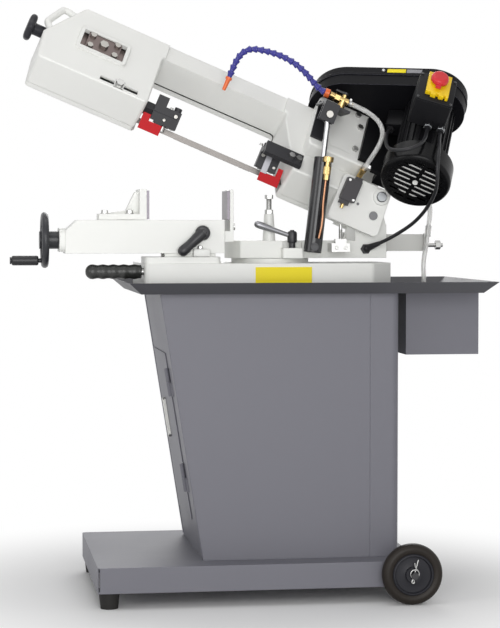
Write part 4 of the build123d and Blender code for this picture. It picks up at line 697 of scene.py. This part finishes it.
# Saw band: carbon steel, 13 mm wide, with fine teeth ground on its lower edge.
# It lies flat on the wheels and is twisted upright between the guides.
band_steel = metal("band_steel", (0.16, 0.15, 0.143), 0.40, (40, 1200, 1200))
dress(band_steel, "saw_blade")
band_across, band_edge, band_half = -0.4, -13.5, 0.33
tooth_pitch, tooth_depth = 3.2, 1.3
teeth_start, teeth_end = 296, 490
teeth = []
for number in range(int((teeth_end - teeth_start) / tooth_pitch)):
    root = teeth_start + number * tooth_pitch
    profile = ((root, band_edge), (root + tooth_pitch, band_edge),
               (root + 0.15 * tooth_pitch, band_edge - tooth_depth))
    corners = [on_bow(along, band_across + side * band_half, up) for side in (-1, 1) for along, up in profile]
    teeth.append((corners, [(2, 1, 0), (3, 4, 5), (0, 1, 4, 3), (1, 2, 5, 4), (2, 0, 3, 5)]))
place_shapes("band_teeth", teeth, "bow", band_steel, "steel", smooth=20.0)

# Tension slide: a steel block in the bow's window, coloured a dark brownish grey, with plated clamp bolts.
# It is pulled along by a screw with a black star knob at the bow's front end.
slide_steel = metal("slide_steel", (0.13, 0.105, 0.10), 0.32, (400, 60, 400), patchy=0.15)
slide_bolts = metal("slide_bolts", (0.33, 0.32, 0.30), 0.34)
solids_of("tension_slide", "slide", (slide_steel, "steel"), (slide_bolts, "steel"))
idler_place = frame_of(-along_bow, lean_up, place_of["idler_spin"])
for end, left, right in (("front", -66, -36), ("rear", 36, 66)):
    wing = slab(oblong(left, right, -22, 32), idler_place, 74.5, 77.5, 0.5)
    place_piece(f"slide_wing_{end}", wing, "slide", slide_steel, "steel")
knob_plastic = coating("knob_plastic", (0.020, 0.020, 0.025), 0.40, peel=0.15, shine=0.3)
knob_foot = place_of["knob_turn"] - along_bow * mm
knob_shape = [(0, 12), (0.4, 25), (1.8, 30), (5, 33), (9, 33.8), (13, 32.8), (15.8, 30), (17.6, 25),
              (18.4, 17), (18, 10), (18, 0.5)]
knob_sides, knob_lobes, lobe_depth = 96, 6, 0.055
star = spin(knob_shape, knob_foot, along_bow, knob_sides)
for number, corner in enumerate(star[0]):
    outwards = corner - knob_foot
    outwards -= along_bow * outwards.dot(along_bow)
    corner += outwards * lobe_depth * (math.cos(math.tau * knob_lobes * number / knob_sides) - 1)
shank_length, screw_reach, screw_length = 25.5, 142.5, 118
shank_shape = [(0, 13.6), (1, 14), (23, 14), (shank_length, 15)]
shank = spin(shank_shape, knob_foot - along_bow * (shank_length * mm), along_bow)
place_shapes("tension_knob_star", [star, shank], "knob", knob_plastic, "black_plastic", "tension_knob",
             smooth=35.0)
tension_screw = thread(knob_foot - along_bow * (screw_reach * mm), along_bow, screw_length, 5.6, 1.5)
place_shapes("tension_screw", [tension_screw], "knob", zinc, "steel", "tension_knob", smooth=20.0)

# Blade guides: black phosphated heads with three small ball bearings each round the band.
# The left one is clamped in its slot by a plated bolt; each carries a bent red guard.
# the guides' black edges get a painted highlight, and the red guard's a faint one
guide_black = coating("guide_black", (0.020, 0.020, 0.023), 0.48, patchy=0.15, grain=600, peel=0.20,
                      edge_highlight=2.2, shine=0.35)
guard_red = coating("guard_red", (0.52, 0.004, 0.010), 0.40, patchy=0.06, peel=0.08, edge_highlight=1.1,
                    shine=0.15)
strap_steel = metal("strap_steel", (0.24, 0.24, 0.255), 0.42)
solids_of("left_guide", "left_guide", (guide_black, "black_metal"), (zinc, "steel"))
dress(guard_red, "left_guard")
solids_of("right_guide", "bow", (guide_black, "black_metal"), (guard_red, "red"), (strap_steel, "steel"),
          (zinc, "steel"))
eccentric_shape = [(0, 8.8), (9, 8.8), (10.2, 8), (10.2, 4.2), (7, 4), (7, 0.4)]
for body, along, up in (("left_guide", 504.5, 43.5), ("bow", 281.5, 51.5)):
    eccentric = spin(eccentric_shape, on_bow(along, -20.5, up), up_bow, 28)
    place_shapes(f"eccentric_{body}", [eccentric], body, guide_black, "black_metal")
    nut = hex_bolt(on_bow(along + 15.5, -27, up), up_bow, 8, 5, 1)
    place_shapes(f"guide_nut_{body}", nut, body, zinc, "steel", smooth=25.0)
guide_face = -32
for side, body, screws in (("left", "left_guide", ((527, 14, 3.5), (505, 32, 4.5))),
                           ("right", "bow", ((250, 14, 3.5), (284, 32, 4.5)))):
    heads = [socket_screw(on_bow(along, guide_face, up), nearwards, radius) for along, up, radius in screws]
    place_shapes(f"{side}_guide_screws", heads, body, slide_bolts, "steel")

# Gearbox and belt drive: a white cast housing for the worm, step pulleys and belt in a black pressed
# guard with a hinged lid, and the black finned motor with its fan cover over a pale plastic fan.
solids_of("gearbox", "bow", (bow_white, "white_casting"), (zinc, "steel"))
# the guard's edges get a strong painted highlight: the pale lines along its rims
guard_black = coating("guard_black", (0.006, 0.006, 0.0075), 0.46, grain=400, edge=1.3, edge_highlight=20.0,
                      shine=0.08)
dress(guard_black, "belt_guard")
solids_of("belt_cover", "belt_cover", (guard_black, "black_plastic"), (zinc, "steel"))
# the motor's edges get a painted highlight
motor_black = coating("motor_black", (0.006, 0.006, 0.007), 0.40, patchy=0.12, grain=500, peel=0.15,
                      edge=1.4, edge_highlight=3.0, shine=0.12)
dress(motor_black, "motor_body")
# the fan cover's rim and edges get a painted highlight
fan_black = coating("fan_black", (0.004, 0.004, 0.0045), 0.26, patchy=0.08, grain=300, peel=0.05,
                    edge=1.2, edge_highlight=4.0, shine=0.15)
fan_pale = coating("fan_pale", (0.80, 0.80, 0.78), 0.5, patchy=0.05, peel=0.08)
solids_of("fan_cover", "bow", (fan_black, "black_plastic"), (fan_pale, "steel"))
dress(wheel_iron, "worm_shaft")
motor_along, motor_out = -38, 215
worm_along, worm_out = 121, 100
fan_level = on_lean(motor_along, -80, motor_out).dot(lean_up)
# the rotor's fan, below fan_level, is coloured near black: painted shade inside the fan cover, behind its
# outer slots
rotor_finish = coating("rotor_and_fan", (0.20, 0.20, 0.20), 0.42, patchy=0.08,
                       second=((0.03, 0.03, 0.03), lean_up, fan_level))
dress(rotor_finish, "motor_rotor")
disc_shape = [(0, 11), (0, 49), (2.2, 50), (3, 49), (3, 11)]
fan_disc = spin(disc_shape, on_lean(motor_along, -122.5, motor_out), lean_up, 48)
place_shapes("fan_disc", [fan_disc], "rotor", fan_pale, "grey_plastic")
belt_rubber = coating("belt_rubber", (0.015, 0.015, 0.015), 0.6, patchy=0.2, grain=500, peel=0.3, edge=0.5)
dress(belt_rubber, "drive_belt")
# the bare plates and the bolt lie on the lid's upper side, which mirrors its hinge side
drive_way = (on_lean(motor_along, 0, motor_out) - on_lean(worm_along, 0, worm_out)).normalized()
hinge_way = axis_of["belt_cover_swing"]
upper_along = 2 * hinge_way.dot(drive_way) * drive_way - hinge_way
upper_out = upper_along.cross(lean_up)
drive_middle = on_lean((motor_along + worm_along) / 2, 161, (motor_out + worm_out) / 2)
upper_middle = drive_middle + upper_out * (90 * mm)
upper_place = frame_of(upper_along, lean_up, upper_middle)
plate_grey = coating("plate_grey", (0.24, 0.24, 0.26), 0.40, patchy=0.04, grain=900, peel=0.05, edge=0.4)
for colour, finish, slot, left, right in (("yellow", plate_yellow, "yellow", -4, 40),
                                          ("grey", plate_grey, "grey_plastic", 42, 78)):
    plate = slab(oblong(left, right, -6, 6), upper_place, -0.4, 0.7, 0.3)
    place_piece(f"cover_plate_{colour}", plate, "belt_cover", finish, slot)
dome = [(-1, 4.2), (1.2, 4.2), (2.6, 3.4), (3.2, 1.8), (3.4, 0.4)]
cover_bolt = spin(dome, upper_middle - upper_along * (13 * mm), upper_out, 20)
place_shapes("cover_bolt", [cover_bolt], "belt_cover", zinc, "steel", smooth=40.0)

# Switch box and limit switch: black moulded boxes; the first has a yellow lid with a red mushroom.
# Cables leave the box through two black glands with plated rings.
# the box's edges get a painted highlight
box_black = coating("box_black", (0.011, 0.011, 0.0125), 0.46, peel=0.18, edge=1.3, edge_highlight=4.0,
                    shine=0.16)
solids_of("switch_box", "bow", (box_black, "black_plastic"))
# the lid's edges get a faint painted highlight
lid_yellow = coating("lid_yellow", (0.83, 0.56, 0.005), 0.34, patchy=0.05, peel=0.08, edge_highlight=1.05)
box_out = -axis_of["button_press"]
box_place = frame_of(lean_up.cross(box_out), lean_up, on_lean(-8.5, 0, 313))
bezel = slab(oblong(-42.5, 42.5, -9, 77), box_place, 37, 41, 1.2)
place_piece("switch_bezel", bezel, "bow", box_black, "black_plastic", "stop_switch")
lid_left, lid_right, lid_top, lid_foot, notch_top = -24.5, 28.5, 74, 4, 10
lid_outline = [(lid_left, lid_top), (lid_left, notch_top)]
for tab_left, tab_right in ((-12, 0), (6, 18)):
    lid_outline += [(tab_left, notch_top), (tab_left, lid_foot)]
    lid_outline += [(tab_right, lid_foot), (tab_right, notch_top)]
lid_outline += [(22, notch_top), (22, lid_foot), (lid_right, lid_foot), (lid_right, lid_top)]
lid = slab(lid_outline, box_place, 40, 53, 1.2)
place_piece("switch_lid", lid, "bow", lid_yellow, "yellow", "stop_switch")
corner_screws = [socket_screw(box_place @ point(x, up, 40.8), box_out, 2.8)
                 for x in (-38, 38) for up in (-4, 72)]
place_shapes("switch_screws", corner_screws, "bow", pin_steel, "steel")
mushroom_red = coating("mushroom_red", (0.62, 0.030, 0.040), 0.36, patchy=0.05, grain=500, peel=0.05,
                       shine=0.35)
dress(mushroom_red, "stop_button")
# the limit switch's edges get a painted highlight
limit_plastic = coating("limit_plastic", (0.034, 0.031, 0.035), 0.46, peel=0.15, edge_highlight=1.8, shine=0.35)
solids_of("limit_switch", "bow", (limit_plastic, "grey_plastic"), (zinc, "steel"))
dress(brass, "limit_plunger")

# Rod clevis and coolant tap: a black bracket on the gearbox holds the cylinder's rod end by a bolt
# and carries the brass tap that feeds the coolant nozzle.
solids_of("rod_clevis", "bow", (guide_black, "black_metal"), (slide_bolts, "steel"))
dress(brass, "coolant_tap")
dress(lever_enamel, "tap_lever")

# Coolant pump: a small black plastic immersion pump standing in the tank.
# Its spigot takes the clear hose that goes up through the tray.
dress(grip_plastic, "coolant_pump")

# Nozzle hose: ball-jointed blue plastic links that hold the shape they are bent to, with an orange
# nozzle at the free end and an orange collar screwed on the tap.
# the links' edges get a painted highlight
hose_blue = coating("hose_blue", (0.030, 0.028, 0.255), 0.30, patchy=0.08, grain=500, peel=0.05, edge=0.6,
                    edge_highlight=1.3)
nozzle_orange = coating("nozzle_orange", (0.78, 0.145, 0.030), 0.36, patchy=0.06, grain=600, peel=0.06,
                        edge=0.6)
solids_of("segmented_hose", "bow", None, (nozzle_orange, "blue_plastic"))
# the routes of hoses and cables start from the drawing's zero, which lies left of the frame's
drawing_shift = 24.8


def from_drawing(points):
    """The frame's places of points on the drawing."""
    return [point(x - drawing_shift, y, z) for x, y, z in points]


link_points = [(208, -40, 1152.3), (195, -38.8, 1160), (180, -36.5, 1178), (160, -34.5, 1202),
               (135, -32.2, 1222), (104, -29.6, 1238), (68, -27, 1248), (34, -24.6, 1253), (12, -22.5, 1238),
               (-2, -20.5, 1212), (-12, -19, 1186)]
link_line = smooth_line("nozzle_hose", from_drawing(link_points), 30)
link_count = 20
# a link's radius at shares of its length: a ball at the start that the link before it takes in
link_shape = ((-0.05, 5.2), (-0.02, 7.4), (0.05, 8.3), (0.16, 8.5), (0.26, 8), (0.50, 6.6), (0.74, 5.7),
              (0.90, 5.4), (1.04, 5.4))
runs = [0.0]
for before, after in zip(link_line, link_line[1:]):
    runs.append(runs[-1] + (after - before).length)
ends = [next(i for i, run in enumerate(runs) if run >= runs[-1] * number / link_count - 1e-9)
        for number in range(link_count + 1)]
links = []
for first, last in zip(ends, ends[1:]):
    heading = link_line[last] - link_line[first]
    profile = [(share * heading.length / mm, radius) for share, radius in link_shape]
    links.append(spin(profile, link_line[first], heading, 24))
place_shapes("nozzle_hose_links", links, "bow", hose_blue, "blue_plastic", "segmented_hose", smooth=35.0)

# Coolant hoses: clear soft plastic tube from the pump to the swivel arm, on to the bow, and from the
# tap back into the bow. The tap's hose rides on the bow; the two others stay where they are drawn.
hose_clear = bpy.data.materials.new("clear_hose")
tube = new_tree(hose_clear)
tube_spot = tube.node("TexCoord", {}, {}, "Object")
haze = tube.node("TexNoise", {}, {"Vector": tube_spot, "Scale": 90.0, "Detail": 3.0})
tube_shader = tube.node("BsdfPrincipled", {},
                        {"Base Color": (0.95, 0.95, 0.94, 1), "Roughness": haze * 0.12 + 0.02,
                         "Transmission Weight": 0.72, "IOR": 1.35})
tube.node("OutputMaterial", {}, {"Surface": tube_shader})


def soft_line(name, node, points, diameter, finish, slot, bodies, bore=0.0):
    """A hose or cable along its drawn points, on one body, or on none where it runs between two.

    Its diameter and bore are in metres.
    """
    line = smooth_line(name, from_drawing(points))
    body = bodies[0] if len(bodies) == 1 else None
    piece = place_piece(name, swept(line, diameter / 2, 20, bore), body, finish, slot, node, smooth=60.0)
    if len(bodies) == 2:
        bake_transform(piece)
    return line


hose_diameter, hose_bore = 0.0114, 0.0042
supply_points = [(463, 45, 634), (463, 45, 672), (466, 44, 715), (464, 46, 755), (470, 43, 793),
                 (474, 40, 830)]
supply_line = soft_line("supply_hose_tube", "supply_hose", supply_points, hose_diameter, hose_clear,
                        "clear_hose", ("stand", "head"), bore=hose_bore)
riser_points = [(474, 40, 832), (479, 37, 868), (474, 26, 902), (458, 6, 930), (436, -20, 946),
                (415, -40, 954)]
riser_line = soft_line("riser_hose_tube", "bow_hoses", riser_points, hose_diameter, hose_clear,
                       "clear_hose", ("head", "bow"), bore=hose_bore)
feed_points = [(264.9, -40, 1128.2), (292.5, -40, 1116.4), (314, -56, 1102), (331, -78, 1081),
               (336, -94, 1055), (324, -102, 1026), (305, -95, 996), (291, -78, 970)]
feed_line = soft_line("feed_hose_tube", "bow_hoses", feed_points, hose_diameter, hose_clear,
                      "clear_hose", ("bow",), bore=hose_bore)
# a plated clamp with an ear holds the hose on the tap
clamp_way = (feed_line[1] - feed_line[0]).normalized()
clamp_ring = [(0, 5.2), (0, 6.4), (1, 6.8), (3, 6.4), (5, 6.8), (6, 6.4), (6, 5.2)]
clamp_band = spin(clamp_ring, feed_line[0] + clamp_way * (2 * mm), clamp_way, 28)
clamp_ear = spin([(0, 2.8), (10, 2.8), (10.6, 2)], feed_line[0] + clamp_way * (5 * mm) + point(0, -5, 8.5),
                 (0, 1, 0), 14)
place_shapes("hose_clamp", [clamp_band, clamp_ear], "bow", zinc, "steel")
# where the two lower stretches meet, a clear sleeve holds their ends, on a strip on the spring's bracket
supply_end = supply_line[-1]
sleeve_way = (riser_line[1] - supply_line[-2]).normalized()
sleeve_length = 26
sleeve_shape = [(0, 5.9), (0, 7.2), (1.2, 7.8), (12, 7.4), (24.8, 7.8), (sleeve_length, 7.2),
                (sleeve_length, 5.9)]
sleeve = spin(sleeve_shape, supply_end - sleeve_way * (sleeve_length / 2 * mm), sleeve_way, 28, closed=True)
place_shapes("hose_sleeve", [sleeve], "head", hose_clear, "clear_hose")
bracket_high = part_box("spring_bracket")[1]
strip_place = Matrix.Translation((supply_end.x, supply_end.y, bracket_high.z))
strip = slab(oblong(-5, (bracket_high.x - supply_end.x) / mm, 7, 30), strip_place, -0.5, 1.6, 0.4)
place_piece("hose_strip", strip, "head", bracket_zinc, "steel")
# the riser's upper end and the lower end of the tap's hose each sit on a turned nipple
nipple_shape = [(-10, 4.6), (-4, 4.6), (-4, 8), (2, 8), (2, 6.6), (30, 6.6)]
for name, line in (("riser_nipple", riser_line), ("feed_nipple", feed_line)):
    place_shapes(name, [spin(nipple_shape, line[-1], line[-1] - line[-2], 24)], "bow", brass, "brass")

# Cables: black rubber sheathed leads from the switch box, a short loop to the motor and a longer one
# down to the swivel arm. Hexagon gland nuts hold them at the box.
cable_black = coating("cable_black", (0.012, 0.012, 0.014), 0.42, patchy=0.15, grain=600, edge=0.4,
                      shine=0.35)
cable_diameter = 0.0084
motor_points = [(416.7, -187.5, 1061.7), (407, -216, 1045), (394, -243, 1030), (372, -261, 1018),
                (346, -259, 1011), (326, -238, 1011), (320, -206, 1019), (326, -165, 1034),
                (337, -120, 1050), (350, -78, 1061), (364, -46, 1068)]
motor_line = soft_line("motor_cable_lead", "motor_cable", motor_points, cable_diameter, cable_black,
                       "cable", ("bow",))
pump_points = [(445.2, -191.9, 1053.5), (438.9, -206.8, 1038.6), (432.5, -238, 1021.5), (424, -261, 996.5),
               (421, -266, 963), (425, -250, 938), (426, -222, 914), (421, -193, 892), (410, -168, 869),
               (393, -144, 847), (367, -118, 826), (336, -92, 806), (318, -70, 797)]
pump_line = soft_line("pump_cable_lead", "pump_cable", pump_points, cable_diameter, cable_black,
                      "cable", ("bow", "head"))
gland_shape = [(0, 8.6), (1, 10), (6, 10), (7, 8.6)]
gland_nuts = [spin(gland_shape, line[0] + lean_up * (4 * mm), lean_up, 6) for line in (motor_line, pump_line)]
place_shapes("gland_nuts", gland_nuts, "bow", stay_steel, "steel", smooth=25.0)
# the short lead ends in a small box on the motor's side
terminal_out = Vector((-0.923, 0.383, 0.043))
terminal_place = frame_of(lean_up.cross(terminal_out), lean_up, point(360.8, -55.4, 1067.4))
terminal_box = slab(oblong(-19, 19, -4, 46), terminal_place, -6, 34, 3)
place_piece("motor_terminal_box", terminal_box, "bow", motor_black, "black_plastic")
terminal_way = (motor_line[-1] - motor_line[-2]).normalized()
terminal_gland = spin(gland_shape, motor_line[-1] - terminal_way * (12 * mm), terminal_way, 6)
place_shapes("terminal_gland", [terminal_gland], "bow", motor_black, "black_plastic", smooth=25.0)
# the long lead ends in a tapered boot with a nut on the swivel arm's near face
pump_end = pump_line[-1]
boot_way = (pump_line[-2] - pump_end).normalized()
arm_face = -54 * mm
boot_foot = pump_end + boot_way * ((arm_face + 2 * mm - pump_end.y) / boot_way.y)
boot = spin([(0, 9.5), (8, 9.2), (10, 7.8), (30, 6.2), (42, 5.2), (43, 4.4)], boot_foot, boot_way, 24)
boot_nut = spin([(-1, 12.5), (4, 12.5), (5, 11.5)], (boot_foot.x, arm_face, boot_foot.z), nearwards, 6)
place_shapes("cable_boot", [boot, boot_nut], "head", cable_black, "black_plastic", smooth=25.0)
